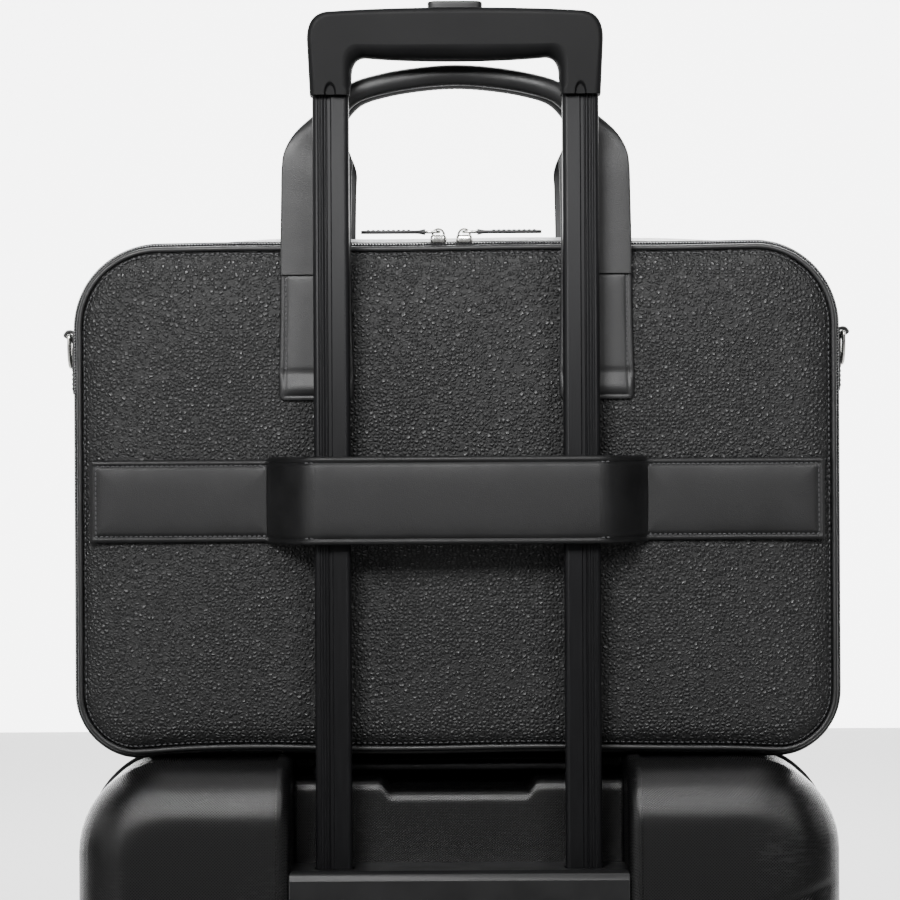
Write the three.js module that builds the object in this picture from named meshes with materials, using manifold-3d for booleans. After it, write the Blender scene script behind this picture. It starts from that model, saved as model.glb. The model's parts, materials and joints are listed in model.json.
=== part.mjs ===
// A rolling laptop case: a soft leather laptop bag carried on the telescopic handle of a hard wheeled case.
// Millimetres, +Z up. The origin is on the floor under the middle of the case; -Y is the side with the handle.
import * as THREE from "three";
import { mergeVertices } from "three/addons/utils/BufferGeometryUtils.js";
import Module from "manifold-3d";

const wasm = await Module();
wasm.setup();

// ---------------------------------------------------------------- driving dimensions

const GAP = 0.3; // left between pieces that meet

const CASE = {
  halfWidth: 204, bottom: 52, top: 565, halfDepth: 110,
  corner: 48, edge: 30, wall: 3, seam: 4,
};
const RECESS = { halfWidth: 91, floor: 440, back: -62 }; // where the folded handle's grip is kept
const BEZEL = { top: 508, wall: 3.2, front: -109, edge: 5 };
const TUBE = { x: 66.7, y: -88, width: 19.4, depth: 14, wall: 1.8, corner: 4 };
const SLEEVE = { clearance: 0.5, wall: 1.6, bottom: 63.5 }; // the fixed outer tube round each sliding tube
const HANDLE = { travel: 412, legBottom: 920.7, tubeBottom: 476.5, tubeTop: 931 };
const GRIP = {
  halfDepth: 11, legIn: 56.4, legOut: 77.6, shoulder: 79, top: 965.5, crown: 969,
  under: 942, sag: 938, corner: 12, wall: 2.6, edge: 5,
};
const BUTTON = { halfWidth: 14.6, halfDepth: 6, top: 971, rodRadius: 1.5 };
const CASTER = {
  x: 150, y: 70, offset: 12, wheelRadius: 20, wheelHalfWidth: 10, boreRadius: 2.9, axleRadius: 2.5,
  plateBottom: 41, plateTop: 44.7, plateRadius: 18, cheek: 3, stemRadius: 4, housingRadius: 25,
};
const CARRY = { halfLength: 80, halfWidth: 12, foot: 62, lift: 4, top: 9, groove: 13, well: 30, wellHalf: 41 };
const TOP_CARRY = { y: -38, notch: 19, notchHalf: 37 };
const SIDE_CARRY = { y: -48, z: 330 };

const BAG = { halfWidth: 207.5, bottom: 566, top: 844, lowerCorner: 34, upperCorner: 46 };
const LAYER = { // places across the bag, from its back to its front
  backFace: -72.2, rearSeam: -62, rearZip: -54, frontZip: 14, frontSeam: 22, frontFace: 32,
};
const WALL = 4; // of the bag's gusset
const LEATHER = 3; // a doubled, sewn leather strap
const BAND = { bottom: 681, top: 728, foot: 103, bend: 99, standOff: 84, front: -103.2, thick: 2.4 };
const PATCH = { outer: 198, bottom: 682, top: 726.5 };
const STRAP = { x: 75.5, halfWidth: 19, foldBottom: 760, patchTop: 829, edgeTop: 846 };
const LOOP = { shoulder: 895, gripEnd: 929, crown: 939, frontRise: 7.5, radius: 5.6, inset: 3.6 };
const RING = { z: 795, radius: 3.4, bore: 1.75, rod: 2, halfWidth: 12, drop: 17, chapeBottom: 763 };
const SLIDER = { halfLength: 4.5, height: 5.2, left: -9.5, right: 4.5 };
const PULL = { pin: 1.5, ear: 1.4, gap: 1.2, plateEnd: 12, tabEnd: 42, thick: 1.8 };
const DIVIDER = { y: -44, thick: 6, top: 780, inset: 5.5 };

const ARC = 5; // straight steps in a quarter turn
const ROUND = 20; // sides of a small round

// ---------------------------------------------------------------- materials

function finish(colour, roughness, metalness = 0) {
  return new THREE.MeshStandardMaterial({ color: colour, roughness, metalness });
}

const MATERIAL = {
  shell: finish(0x0b0b0c, 0.42),
  trim: finish(0x101011, 0.5),
  anodised: finish(0x151516, 0.38, 0.8),
  sleeve: finish(0x8a8c90, 0.4, 0.9),
  grain: finish(0x121213, 0.5),
  smooth: finish(0x1b1b1d, 0.45),
  zip: finish(0x0c0c0d, 0.7),
  nickel: finish(0xc9c7c0, 0.2, 1),
  tyre: finish(0x141414, 0.7),
  board: finish(0x26262a, 0.9),
};

// ---------------------------------------------------------------- helpers

/** A closed geometry as a manifold-3d solid. */
function solid(geometry) {
  const bare = geometry.index ? geometry.toNonIndexed() : geometry.clone();
  bare.deleteAttribute("normal");
  bare.deleteAttribute("uv");
  const merged = mergeVertices(bare, 1e-4);
  return new wasm.Manifold(new wasm.Mesh({
    numProp: 3,
    vertProperties: merged.attributes.position.array,
    triVerts: new Uint32Array(merged.index.array),
  }));
}

/** A manifold-3d solid as a geometry. */
function geometryOf(manifold) {
  const mesh = manifold.getMesh();
  const geometry = new THREE.BufferGeometry();
  geometry.setAttribute("position", new THREE.BufferAttribute(new Float32Array(mesh.vertProperties), 3));
  geometry.setIndex(new THREE.BufferAttribute(new Uint32Array(mesh.triVerts), 1));
  geometry.computeVertexNormals();
  return geometry;
}

const cut = (from, ...tools) => tools.reduce((left, tool) => left.subtract(tool), from);
const join = (...solids) => solids.reduce((all, one) => all.add(one));

/** A box between two corners, as a solid. */
function block([x0, y0, z0], [x1, y1, z1]) {
  const geometry = new THREE.BoxGeometry(x1 - x0, y1 - y0, z1 - z0);
  return solid(geometry.translate((x0 + x1) / 2, (y0 + y1) / 2, (z0 + z1) / 2));
}

/** A round bar along z, as a solid. */
function barZ(x, y, z0, z1, radius, sides = ROUND) {
  const geometry = new THREE.CylinderGeometry(radius, radius, z1 - z0, sides);
  return solid(geometry.rotateX(Math.PI / 2).translate(x, y, (z0 + z1) / 2));
}

/** A round bar along x, as a solid. */
function barX(x0, x1, y, z, radius, sides = ROUND) {
  const geometry = new THREE.CylinderGeometry(radius, radius, x1 - x0, sides);
  return solid(geometry.rotateZ(Math.PI / 2).translate((x0 + x1) / 2, y, z));
}

/** A round bar along y, as a solid. */
function barY(x, y0, y1, z, radius, sides = ROUND) {
  return solid(new THREE.CylinderGeometry(radius, radius, y1 - y0, sides).translate(x, (y0 + y1) / 2, z));
}

/** A rectangle about x = 0 with its own lower and upper corner radii. */
function outline(halfWidth, bottom, top, lower, upper = lower) {
  const shape = new THREE.Shape();
  shape.moveTo(-halfWidth + lower, bottom);
  shape.absarc(halfWidth - lower, bottom + lower, lower, -Math.PI / 2, 0);
  shape.absarc(halfWidth - upper, top - upper, upper, 0, Math.PI / 2);
  shape.absarc(-halfWidth + upper, top - upper, upper, Math.PI / 2, Math.PI);
  shape.absarc(-halfWidth + lower, bottom + lower, lower, Math.PI, Math.PI * 1.5);
  return shape;
}

/** A polygon as a shape. */
const polygon = (points) => new THREE.Shape(points.map(([x, y]) => new THREE.Vector2(x, y)));

/** A shape drawn in x and z, run along y, with its rims rounded by edge. */
function prismY(shape, y0, y1, edge = 0, edgeSteps = 2) {
  const geometry = new THREE.ExtrudeGeometry(shape, {
    depth: y1 - y0 - 2 * edge, curveSegments: ARC, bevelEnabled: edge > 0, bevelSize: edge,
    bevelThickness: edge, bevelOffset: -edge, bevelSegments: edgeSteps,
  });
  return solid(geometry.translate(0, 0, edge).rotateX(Math.PI / 2).translate(0, y1, 0));
}

/** A shape drawn in x and y, run up z. */
function prismZ(shape, z0, z1) {
  const geometry = new THREE.ExtrudeGeometry(shape, { depth: z1 - z0, curveSegments: ARC, bevelEnabled: false });
  return solid(geometry.translate(0, 0, z0));
}

/** A shape drawn in y and z, run along x. */
function prismX(shape, x0, x1) {
  const geometry = new THREE.ExtrudeGeometry(shape, { depth: x1 - x0, curveSegments: ARC, bevelEnabled: false });
  const turn = new THREE.Matrix4().makeBasis(
    new THREE.Vector3(0, 1, 0), new THREE.Vector3(0, 0, 1), new THREE.Vector3(1, 0, 0));
  return solid(geometry.translate(0, 0, x0).applyMatrix4(turn));
}

/** A round bar along a curve, as a solid. */
function bent(points, radius, steps, sides = 10) {
  const ring = new THREE.Shape();
  ring.absarc(0, 0, radius, 0, Math.PI * 2);
  const section = new THREE.Shape(ring.getPoints(sides).slice(0, sides));
  const path = new THREE.CatmullRomCurve3(points.map((p) => new THREE.Vector3(...p)), false, "centripetal");
  return solid(new THREE.ExtrudeGeometry(section, { steps, extrudePath: path }));
}

const root = new THREE.Group();

/** Adds one named piece to a group. */
function piece(group, name, made, material) {
  const mesh = new THREE.Mesh(geometryOf(made), material);
  mesh.name = name;
  group.add(mesh);
}

const SIDES = [["left", -1], ["right", 1]];

// ---------------------------------------------------------------- the hard case

/** The case's whole outer form, drawn in by inset on every side. */
function caseForm(inset) {
  const shape = outline(CASE.halfWidth - inset, CASE.bottom + inset, CASE.top - inset, CASE.corner - inset);
  return prismY(shape, -CASE.halfDepth + inset, CASE.halfDepth - inset, CASE.edge - inset, 4);
}

/** The recess at the top of the back, grown by margin. */
function recessForm(margin) {
  return block(
    [-RECESS.halfWidth - margin, -CASE.halfDepth - 20, RECESS.floor - margin],
    [RECESS.halfWidth + margin, RECESS.back + margin, CASE.top + 20]);
}

/** One of the trolley tubes' outlines, grown by margin, in x and y. */
function tubeShape(side, margin) {
  const shape = outline(TUBE.width / 2 + margin, -TUBE.depth / 2 - margin, TUBE.depth / 2 + margin,
    TUBE.corner + margin * 0.6);
  return new THREE.Shape(shape.getPoints(ARC / 2).map((p) => p.add(new THREE.Vector2(side * TUBE.x, TUBE.y))));
}

/** A tube of that outline, with a wall, or solid where wall is 0. */
function tube(side, margin, wall, z0, z1) {
  const outer = prismZ(tubeShape(side, margin), z0, z1);
  return wall ? cut(outer, prismZ(tubeShape(side, margin - wall), z0 - 1, z1 + 1)) : outer;
}

/** What is hollowed out of the shell for a carry handle, which lies along x under the face z = 0. */
function carryHollow(grow) {
  const halfLength = CARRY.halfLength + 3 + grow;
  const halfWidth = CARRY.halfWidth + 3 + grow;
  return join(
    block([-halfLength, -halfWidth, -CARRY.groove - grow], [halfLength, halfWidth, 20]),
    block([-CARRY.wellHalf - grow, -halfWidth - 4, -CARRY.well - grow],
      [CARRY.wellHalf + grow, halfWidth + 4, 20]));
}

/** The carry handle itself: a moulded bridge that stands on two feet in its hollow. */
function carryHandle() {
  const { halfLength: end, foot, lift, top, groove, halfWidth } = CARRY;
  const low = -groove + GAP;
  const half = [[foot, low], [end, low], [end, low + top - 3], [end - 4, low + top]];
  const shape = polygon([
    [-foot + 6, low + lift], [-foot, low], [-end, low], [-end, low + top - 3], [-end + 4, low + top],
    ...half.slice().reverse(), [foot - 6, low + lift],
  ].reverse());
  return prismY(shape, -halfWidth, halfWidth, 1.2, 1);
}

const toTop = (made) => made.translate([0, TOP_CARRY.y, CASE.top]);
const toSide = (made) => made.rotate([0, -90, 0]).translate([-CASE.halfWidth, SIDE_CARRY.y, SIDE_CARRY.z]);

/** The hollow on top, which runs out into the recess at the back with a notch for the fingers. */
function topHollow(grow) {
  const front = TOP_CARRY.y + CARRY.halfWidth + 3 + grow;
  const halfWidth = RECESS.halfWidth + grow;
  return join(
    toTop(carryHollow(grow)),
    block([-halfWidth, -CASE.halfDepth - 20, CASE.top - CARRY.groove - grow], [halfWidth, front, CASE.top + 20]),
    block([-TOP_CARRY.notchHalf - grow, -CASE.halfDepth - 20, CASE.top - TOP_CARRY.notch - grow],
      [TOP_CARRY.notchHalf + grow, front, CASE.top + 20]));
}

function makeShells(group) {
  const half = CASE.halfDepth + 10;
  const wide = CASE.halfWidth + 10;
  const backHalf = block([-wide, -half, 0], [wide, -CASE.seam, CASE.top + 10]);
  const frontHalf = block([-wide, CASE.seam, 0], [wide, half, CASE.top + 10]);
  const inside = cut(
    caseForm(CASE.wall), recessForm(CASE.wall), topHollow(CASE.wall), toSide(carryHollow(CASE.wall)));
  const sleeves = SIDES.map(([, side]) =>
    tube(side, SLEEVE.clearance + SLEEVE.wall + GAP, 0, RECESS.floor - 10, RECESS.floor + 10));
  const back = cut(
    caseForm(0).intersect(backHalf), inside, recessForm(0), topHollow(0), toSide(carryHollow(0)), ...sleeves);
  piece(group, "back_shell", back, MATERIAL.shell);
  piece(group, "front_shell", cut(caseForm(0).intersect(frontHalf), caseForm(CASE.wall)), MATERIAL.shell);
}

/** Half of the zip that closes the case: a band round the whole seam. */
function seamBand(y0, y1) {
  const outer = outline(CASE.halfWidth + 1, CASE.bottom - 1, CASE.top + 0.6, CASE.corner + 1);
  const inner = outline(CASE.halfWidth - 3, CASE.bottom + 3, CASE.top - 3, CASE.corner - 3);
  return cut(prismY(outer, y0, y1), prismY(inner, y0 - 1, y1 + 1));
}

function makeSeam(group) {
  const from = CASE.seam - GAP;
  piece(group, "case_zip_back", seamBand(-from, -GAP), MATERIAL.zip);
  piece(group, "case_zip_front", seamBand(GAP, from), MATERIAL.zip);
  const x = -CASE.halfWidth - 1 - GAP;
  for (const [name, z] of [["case_slider_upper", SIDE_CARRY.z + 9], ["case_slider_lower", SIDE_CARRY.z - 9]]) {
    const body = block([x - 3.4, -3.4, z - 6], [x, 3.4, z + 6]);
    const pull = block([x - 5.4, -2.4, z - 7.5], [x - 3.4, 2.4, z + 7.5]);
    piece(group, name, join(body, pull), MATERIAL.nickel);
  }
}

function makeBezel(group) {
  const halfWidth = RECESS.halfWidth - GAP;
  const back = RECESS.back - GAP;
  const outer = polygon([
    [back, RECESS.floor + GAP], [back, BEZEL.top],
    [BEZEL.front + BEZEL.edge, BEZEL.top], [BEZEL.front + 1.5, BEZEL.top - 1.5],
    [BEZEL.front, BEZEL.top - BEZEL.edge], [BEZEL.front, RECESS.floor + GAP],
  ].reverse());
  const hollow = block(
    [-halfWidth + BEZEL.wall, BEZEL.front + BEZEL.wall + 3, RECESS.floor - 5],
    [halfWidth - BEZEL.wall, back - BEZEL.wall, BEZEL.top - BEZEL.wall]);
  const holes = SIDES.map(([, side]) => tube(side, SLEEVE.clearance, 0, BEZEL.top - 20, BEZEL.top + 5));
  piece(group, "handle_bezel", cut(prismX(outer, -halfWidth, halfWidth), hollow, ...holes), MATERIAL.trim);
}

function makeSleeves(group) {
  const floor = SLEEVE.bottom;
  const margin = SLEEVE.clearance + SLEEVE.wall;
  for (const [name, side] of SIDES) {
    const made = tube(side, margin, SLEEVE.wall, floor, BEZEL.top - BEZEL.wall - GAP);
    piece(group, "outer_tube_" + name, made, MATERIAL.sleeve);
  }
  const foot = prismZ(outline(TUBE.x + 20, TUBE.y - 9.8, TUBE.y + 14, 4), floor, floor + 12);
  const holes = SIDES.map(([, side]) => tube(side, margin + GAP, 0, floor - 5, floor + 20));
  piece(group, "tube_foot", cut(foot, ...holes), MATERIAL.trim);
}

function makeCarryHandles(group) {
  piece(group, "case_top_handle", toTop(carryHandle()), MATERIAL.trim);
  piece(group, "case_side_handle", toSide(carryHandle()), MATERIAL.trim);
}

// ---------------------------------------------------------------- casters

/** A caster's housing, moulded to the corner of the case that it is screwed under. */
function casterHousing(x, y) {
  const bottom = CASTER.plateTop + GAP;
  const cup = barZ(x, y, bottom, bottom + 40, CASTER.housingRadius, 24);
  return cut(cup, caseForm(-GAP), barZ(x, y, bottom - 1, bottom + 60, CASTER.stemRadius + GAP));
}

/** A caster's fork, with its stem and axle pin. */
function casterFork(x, y) {
  const inner = CASTER.wheelHalfWidth + 0.5;
  const outer = inner + CASTER.cheek;
  const axleZ = CASTER.wheelRadius;
  const cheek = () => polygon([
    [y - 12, CASTER.plateBottom], [y - 4, axleZ + 14], [y + 5, axleZ - 4], [y + 12, axleZ - 7],
    [y + 19, axleZ - 4], [y + 21, axleZ + 10], [y + 15, CASTER.plateTop], [y - 12, CASTER.plateTop],
  ]);
  return join(
    barZ(x, y, CASTER.plateBottom, CASTER.plateTop, CASTER.plateRadius, 24),
    prismX(cheek(), x - outer, x - inner), prismX(cheek(), x + inner, x + outer),
    barX(x - outer + 1, x + outer - 1, y + CASTER.offset, axleZ, CASTER.axleRadius, 12),
    barZ(x, y, CASTER.plateTop - 1, CASE.bottom - 1, CASTER.stemRadius));
}

/** A twin-tread wheel with a bore for its axle. */
function casterWheel(x, y) {
  const { wheelRadius: r, wheelHalfWidth: w, boreRadius: bore } = CASTER;
  const profile = [
    [bore, -w], [r - 2, -w], [r, -w + 2], [r, -2.2], [r - 2.5, -1],
    [r - 2.5, 1], [r, 2.2], [r, w - 2], [r - 2, w], [bore, w], [bore, -w],
  ].map(([a, b]) => new THREE.Vector2(a, b));
  const wheel = new THREE.LatheGeometry(profile, 24);
  return solid(wheel.rotateZ(Math.PI / 2).translate(x, y + CASTER.offset, r));
}

function makeCasters(group) {
  for (const [end, ySide] of [["back", -1], ["front", 1]]) {
    for (const [name, xSide] of SIDES) {
      const [x, y] = [xSide * CASTER.x, ySide * CASTER.y];
      const label = end + "_" + name;
      piece(group, "caster_housing_" + label, casterHousing(x, y), MATERIAL.trim);
      piece(group, "caster_fork_" + label, casterFork(x, y), MATERIAL.trim);
      piece(group, "wheel_" + label, casterWheel(x, y), MATERIAL.tyre);
    }
  }
}

// ---------------------------------------------------------------- telescopic handle

/** The grip's outline in x and z, drawn in by inset. */
function gripOutline(inset) {
  const out = GRIP.legOut - inset;
  const wide = GRIP.shoulder - inset;
  const top = GRIP.top - inset;
  const under = GRIP.under + inset;
  const legIn = GRIP.legIn + inset;
  const shape = new THREE.Shape();
  shape.moveTo(-out, HANDLE.legBottom);
  shape.lineTo(-legIn, HANDLE.legBottom);
  shape.lineTo(-legIn, under - 8);
  shape.quadraticCurveTo(-legIn, under, -legIn + 9, under);
  shape.quadraticCurveTo(0, GRIP.sag + inset, legIn - 9, under);
  shape.quadraticCurveTo(legIn, under, legIn, under - 8);
  shape.lineTo(legIn, HANDLE.legBottom);
  shape.lineTo(out, HANDLE.legBottom);
  shape.lineTo(wide, top - GRIP.corner);
  shape.quadraticCurveTo(wide, top, wide - GRIP.corner, top);
  shape.quadraticCurveTo(0, GRIP.crown - inset, -wide + GRIP.corner, top);
  shape.quadraticCurveTo(-wide, top, -wide, top - GRIP.corner);
  return shape;
}

function makeGrip(group) {
  const y = TUBE.y;
  const whole = prismY(gripOutline(0), y - GRIP.halfDepth, y + GRIP.halfDepth, GRIP.edge, 2);
  const room = prismY(gripOutline(GRIP.wall), y - GRIP.halfDepth + GRIP.wall, y + GRIP.halfDepth - GRIP.wall,
    GRIP.edge - GRIP.wall, 1);
  const slot = block(
    [-BUTTON.halfWidth - 0.6, y - BUTTON.halfDepth - 0.6, GRIP.under + 5],
    [BUTTON.halfWidth + 0.6, y + BUTTON.halfDepth + 0.6, BUTTON.top + 5]);
  const sockets = SIDES.map(([, side]) => tube(side, GAP, 0, HANDLE.legBottom - 8, HANDLE.tubeTop + GAP));
  const hollowed = cut(whole, room, slot, ...sockets);
  const wide = GRIP.shoulder + 5;
  const low = HANDLE.legBottom - 10;
  const frontHalf = block([-wide, y - 20, low], [wide, y - GAP / 2, BUTTON.top]);
  const backHalf = block([-wide, y + GAP / 2, low], [wide, y + 20, BUTTON.top]);
  piece(group, "grip_back_cover", hollowed.intersect(frontHalf), MATERIAL.trim);
  piece(group, "grip_front_cover", hollowed.intersect(backHalf), MATERIAL.trim);
}

function makeTelescope(group) {
  for (const [name, side] of SIDES) {
    piece(group, "sliding_tube_" + name, tube(side, 0, TUBE.wall, HANDLE.tubeBottom, HANDLE.tubeTop),
      MATERIAL.anodised);
  }
  makeGrip(group);
  const y = TUBE.y;
  const barZ0 = GRIP.under + 7.5;
  const cap = prismY(outline(BUTTON.halfWidth, barZ0 + 2, BUTTON.top, 2.5, 3.5), y - BUTTON.halfDepth,
    y + BUTTON.halfDepth, 1.2, 1);
  const bar = block([-TUBE.x - 3, y - 3, barZ0], [TUBE.x + 3, y + 3, barZ0 + 4]);
  piece(group, "release_button", join(cap, bar), MATERIAL.trim);
  for (const [name, side] of SIDES) {
    const rod = barZ(side * TUBE.x, y, HANDLE.tubeBottom + 6, barZ0 - GAP, BUTTON.rodRadius, 10);
    piece(group, "push_rod_" + name, rod, MATERIAL.nickel);
  }
}

// ---------------------------------------------------------------- the laptop bag

/** The bag's outline, drawn in by inset. */
function bagOutline(inset) {
  return outline(BAG.halfWidth - inset, BAG.bottom + inset, BAG.top - inset, BAG.lowerCorner - inset,
    BAG.upperCorner - inset);
}

/** A band of that outline between two places across the bag. */
function bagBand(outer, inner, y0, y1, edge = 0) {
  return cut(prismY(bagOutline(outer), y0, y1, edge, 1), prismY(bagOutline(inner), y0 - 1, y1 + 1));
}

function makeBody(group) {
  const { backFace, rearSeam, rearZip, frontZip, frontSeam, frontFace } = LAYER;
  piece(group, "back_panel", prismY(bagOutline(4.5), backFace, rearSeam - GAP, 3.5, 2), MATERIAL.grain);
  piece(group, "rear_piping", bagBand(0, 4.2, rearSeam - 5.5, rearSeam - GAP, 1.6), MATERIAL.grain);
  piece(group, "rear_zip", bagBand(1.5, 1.5 + WALL, rearSeam, rearZip - GAP), MATERIAL.zip);
  const gusset = outline(BAG.halfWidth + 1.5, BAG.bottom + 0.2, BAG.top + 2, BAG.lowerCorner, BAG.upperCorner + 1);
  piece(group, "gusset", cut(prismY(gusset, rearZip, frontZip - GAP), prismY(bagOutline(WALL), rearZip - 1, frontZip)),
    MATERIAL.grain);
  piece(group, "front_zip", bagBand(1.5, 1.5 + WALL, frontZip, frontSeam - GAP), MATERIAL.zip);
  piece(group, "front_piping", bagBand(0, 4.2, frontSeam + GAP, frontSeam + 5.5, 1.6), MATERIAL.grain);
  piece(group, "front_panel", prismY(bagOutline(4.5), frontSeam + GAP, frontFace, 3.5, 2), MATERIAL.grain);
  const board = outline(BAG.halfWidth - DIVIDER.inset, BAG.bottom + DIVIDER.inset, DIVIDER.top,
    BAG.lowerCorner - DIVIDER.inset, 12);
  piece(group, "laptop_divider", prismY(board, DIVIDER.y, DIVIDER.y + DIVIDER.thick), MATERIAL.board);
}

/** The band that the trolley tubes pass behind, standing off the back panel so that the grip passes too. */
function makeTrolleyBand(group) {
  const foot = LAYER.backFace - GAP;
  const { front, thick, foot: end, bend, standOff } = BAND;
  const lean = 2.7; // how far the slanting stretch's inner face lies inside its outer one, along x
  const rightOuter = [[end, foot], [end, foot - thick], [bend, foot - thick], [standOff, front]];
  const rightInner = [[standOff - lean + 1.3, front + thick], [bend - lean + 1.3, foot]];
  const mirrored = (points) => points.map(([x, y]) => [-x, y]).reverse();
  const plan = polygon([...rightOuter, ...mirrored(rightOuter), ...mirrored(rightInner), ...rightInner]);
  piece(group, "trolley_strap", prismZ(plan, BAND.bottom, BAND.top), MATERIAL.smooth);
  for (const [name, side] of SIDES) {
    const [a, b] = [side * (BAND.foot + GAP), side * PATCH.outer].sort((p, q) => p - q);
    const made = block([a, foot - LEATHER, PATCH.bottom], [b, foot, PATCH.top]);
    piece(group, "strap_patch_" + name, made, MATERIAL.smooth);
  }
}

/** A sewn leather tab between two faces, with the thick fold at its foot. */
function strapTab(side, y0, y1, top) {
  const x = side * STRAP.x;
  return block([x - STRAP.halfWidth, y0, STRAP.foldBottom], [x + STRAP.halfWidth, y1, top]);
}

/** A carry handle: two flat straps that run into one round grip, whose upper part is raised by rise. */
function bagHandle(y, inward, bottom, rise) {
  const half = LEATHER / 2;
  const yGrip = y + inward * LOOP.inset;
  const shoulder = LOOP.shoulder + rise;
  const gripEnd = LOOP.gripEnd + rise;
  const crown = LOOP.crown + rise;
  const straps = SIDES.map(([, side]) => {
    const x = side * STRAP.x;
    const tip = side * (STRAP.x - 5);
    const shape = polygon([
      [x - STRAP.halfWidth, bottom], [x + STRAP.halfWidth, bottom],
      [x + STRAP.halfWidth - (side > 0 ? 4 : 0), shoulder], [tip + 13, gripEnd - 10],
      [tip + 6, gripEnd], [tip - 6, gripEnd], [tip - 13, gripEnd - 10],
      [x - STRAP.halfWidth + (side > 0 ? 0 : 4), shoulder],
    ]);
    return prismY(shape, y - half, y + half);
  });
  const arch = bent([
    [-STRAP.x + 2, yGrip, shoulder + 10], [-STRAP.x + 9, yGrip, gripEnd - 6],
    [-STRAP.x / 2, yGrip, crown - 4.5], [0, yGrip, crown],
    [STRAP.x / 2, yGrip, crown - 4.5], [STRAP.x - 9, yGrip, gripEnd - 6],
    [STRAP.x - 2, yGrip, shoulder + 10],
  ], LOOP.radius, 28);
  return join(...straps, arch);
}

function makeBagHandles(group) {
  const back = LAYER.backFace - GAP;
  const front = LAYER.frontFace + GAP;
  for (const [name, side] of SIDES) {
    piece(group, "rear_tab_" + name, strapTab(side, back - LEATHER, back, STRAP.edgeTop), MATERIAL.smooth);
    piece(group, "front_tab_" + name, strapTab(side, front, front + LEATHER, STRAP.patchTop), MATERIAL.smooth);
  }
  piece(group, "rear_bag_handle", bagHandle(back - LEATHER / 2, 1, STRAP.edgeTop + 4, 0), MATERIAL.smooth);
  piece(group, "front_bag_handle", bagHandle(front + LEATHER / 2, -1, STRAP.patchTop + 4, LOOP.frontRise), MATERIAL.smooth);
}

/** The leather chapes on the bag's ends and the rings that hang from them. */
function makeRings(group) {
  const midY = (LAYER.rearZip + LAYER.frontZip) / 2;
  const face = BAG.halfWidth + 1.5 + GAP;
  const axis = face + RING.radius;
  for (const [name, side] of SIDES) {
    const x = side * axis;
    const [a, b] = [side * face, side * (face + 1.8)].sort((p, q) => p - q);
    const strip = block([a, midY - 9, RING.chapeBottom], [b, midY + 9, RING.z]);
    const curl = barY(x, midY - 9, midY + 9, RING.z, RING.radius, 16);
    const bore = barY(x, midY - 12, midY + 12, RING.z, RING.bore, 12);
    piece(group, "ring_chape_" + name, cut(join(strip, curl), bore), MATERIAL.smooth);

    const { rod, halfWidth: w, drop } = RING;
    const r = rod / 2;
    const dee = new THREE.Shape();
    dee.moveTo(-w - r, r);
    dee.lineTo(-w - r, -drop + w);
    dee.absarc(0, -drop + w, w + r, Math.PI, Math.PI * 2);
    dee.lineTo(w + r, r);
    const inside = new THREE.Path();
    inside.moveTo(-w + r, -r);
    inside.lineTo(-w + r, -drop + w);
    inside.absarc(0, -drop + w, w - r, Math.PI, Math.PI * 2);
    inside.lineTo(w - r, -r);
    dee.holes.push(inside);
    const made = prismX(dee, -r, r).translate([x, midY, RING.z]);
    piece(group, "d_ring_" + name, made, MATERIAL.nickel);
  }
}

/** The two zip sliders on top of the bag, their metal pulls and their leather tabs. */
function makeSliders(group) {
  const y = (LAYER.rearSeam + LAYER.rearZip) / 2;
  const z0 = BAG.top - 1.5 + GAP;
  const z1 = z0 + SLIDER.height;
  const arch = new THREE.Shape();
  arch.absarc(0, 0, 4, 0, Math.PI);
  for (const [name, side] of SIDES) {
    const x = side < 0 ? SLIDER.left : SLIDER.right;
    const body = block([x - SLIDER.halfLength, y - 3.4, z0], [x + SLIDER.halfLength, y + 3.4, z1]);
    const bail = cut(
      prismY(arch, y - 0.8, y + 0.8).translate([x, 0, z1 - 0.3]),
      prismY(polygon([[-2.6, 0.6], [2.6, 0.6], [2, 2.4], [0.8, 3], [-0.8, 3], [-2, 2.4]]), y - 2, y + 2)
        .translate([x, 0, z1 - 0.3]));
    piece(group, "zip_slider_" + name, join(body, bail), MATERIAL.nickel);
    const pin = z1 + PULL.pin;
    const [low, high] = [pin - PULL.thick / 2, pin + PULL.thick / 2];
    const span = (from, to) => [x + side * from, x + side * to].sort((p, q) => p - q);
    const ears = [-1, 1].map((way) => {
      const [e0, e1] = span(-1, 7);
      const [w0, w1] = [way * PULL.gap, way * (PULL.gap + PULL.ear)].sort((p, q) => p - q);
      return block([e0, y + w0, low], [e1, y + w1, high]);
    });
    const cross = block([x - 0.6, y - PULL.gap - 0.2, pin - 0.6], [x + 0.6, y + PULL.gap + 0.2, pin + 0.6]);
    const [p0, p1] = span(6, PULL.plateEnd);
    const [t0, t1] = span(PULL.plateEnd + GAP, PULL.tabEnd);
    const plate = block([p0, y - PULL.gap - PULL.ear, low], [p1, y + PULL.gap + PULL.ear, high]);
    piece(group, "zip_pull_" + name, join(...ears, cross, plate), MATERIAL.nickel);
    const tab = block([t0, y - 3.4, low], [t1, y + 3.4, high]);
    piece(group, "pull_tab_" + name, tab, MATERIAL.smooth);
  }
}

// ---------------------------------------------------------------- the whole object

const hardCase = new THREE.Group();
makeShells(hardCase);
makeSeam(hardCase);
makeBezel(hardCase);
makeSleeves(hardCase);
makeCarryHandles(hardCase);
makeCasters(hardCase);

const telescope = new THREE.Group();
makeTelescope(telescope);

const bag = new THREE.Group();
makeBody(bag);
makeTrolleyBand(bag);
makeBagHandles(bag);
makeRings(bag);
makeSliders(bag);

root.add(hardCase, telescope, bag);

export default root;
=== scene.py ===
"""Looks of a rolling laptop case: a soft leather bag on the handle of a hard wheeled case.

Lengths inside the classes are millimetres in the part's own frame, +Z up and -Y towards the handle side.
Each piece is scaled to metres as its mesh is made. Every position starts from the CAD frame's own boxes.
"""

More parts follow.
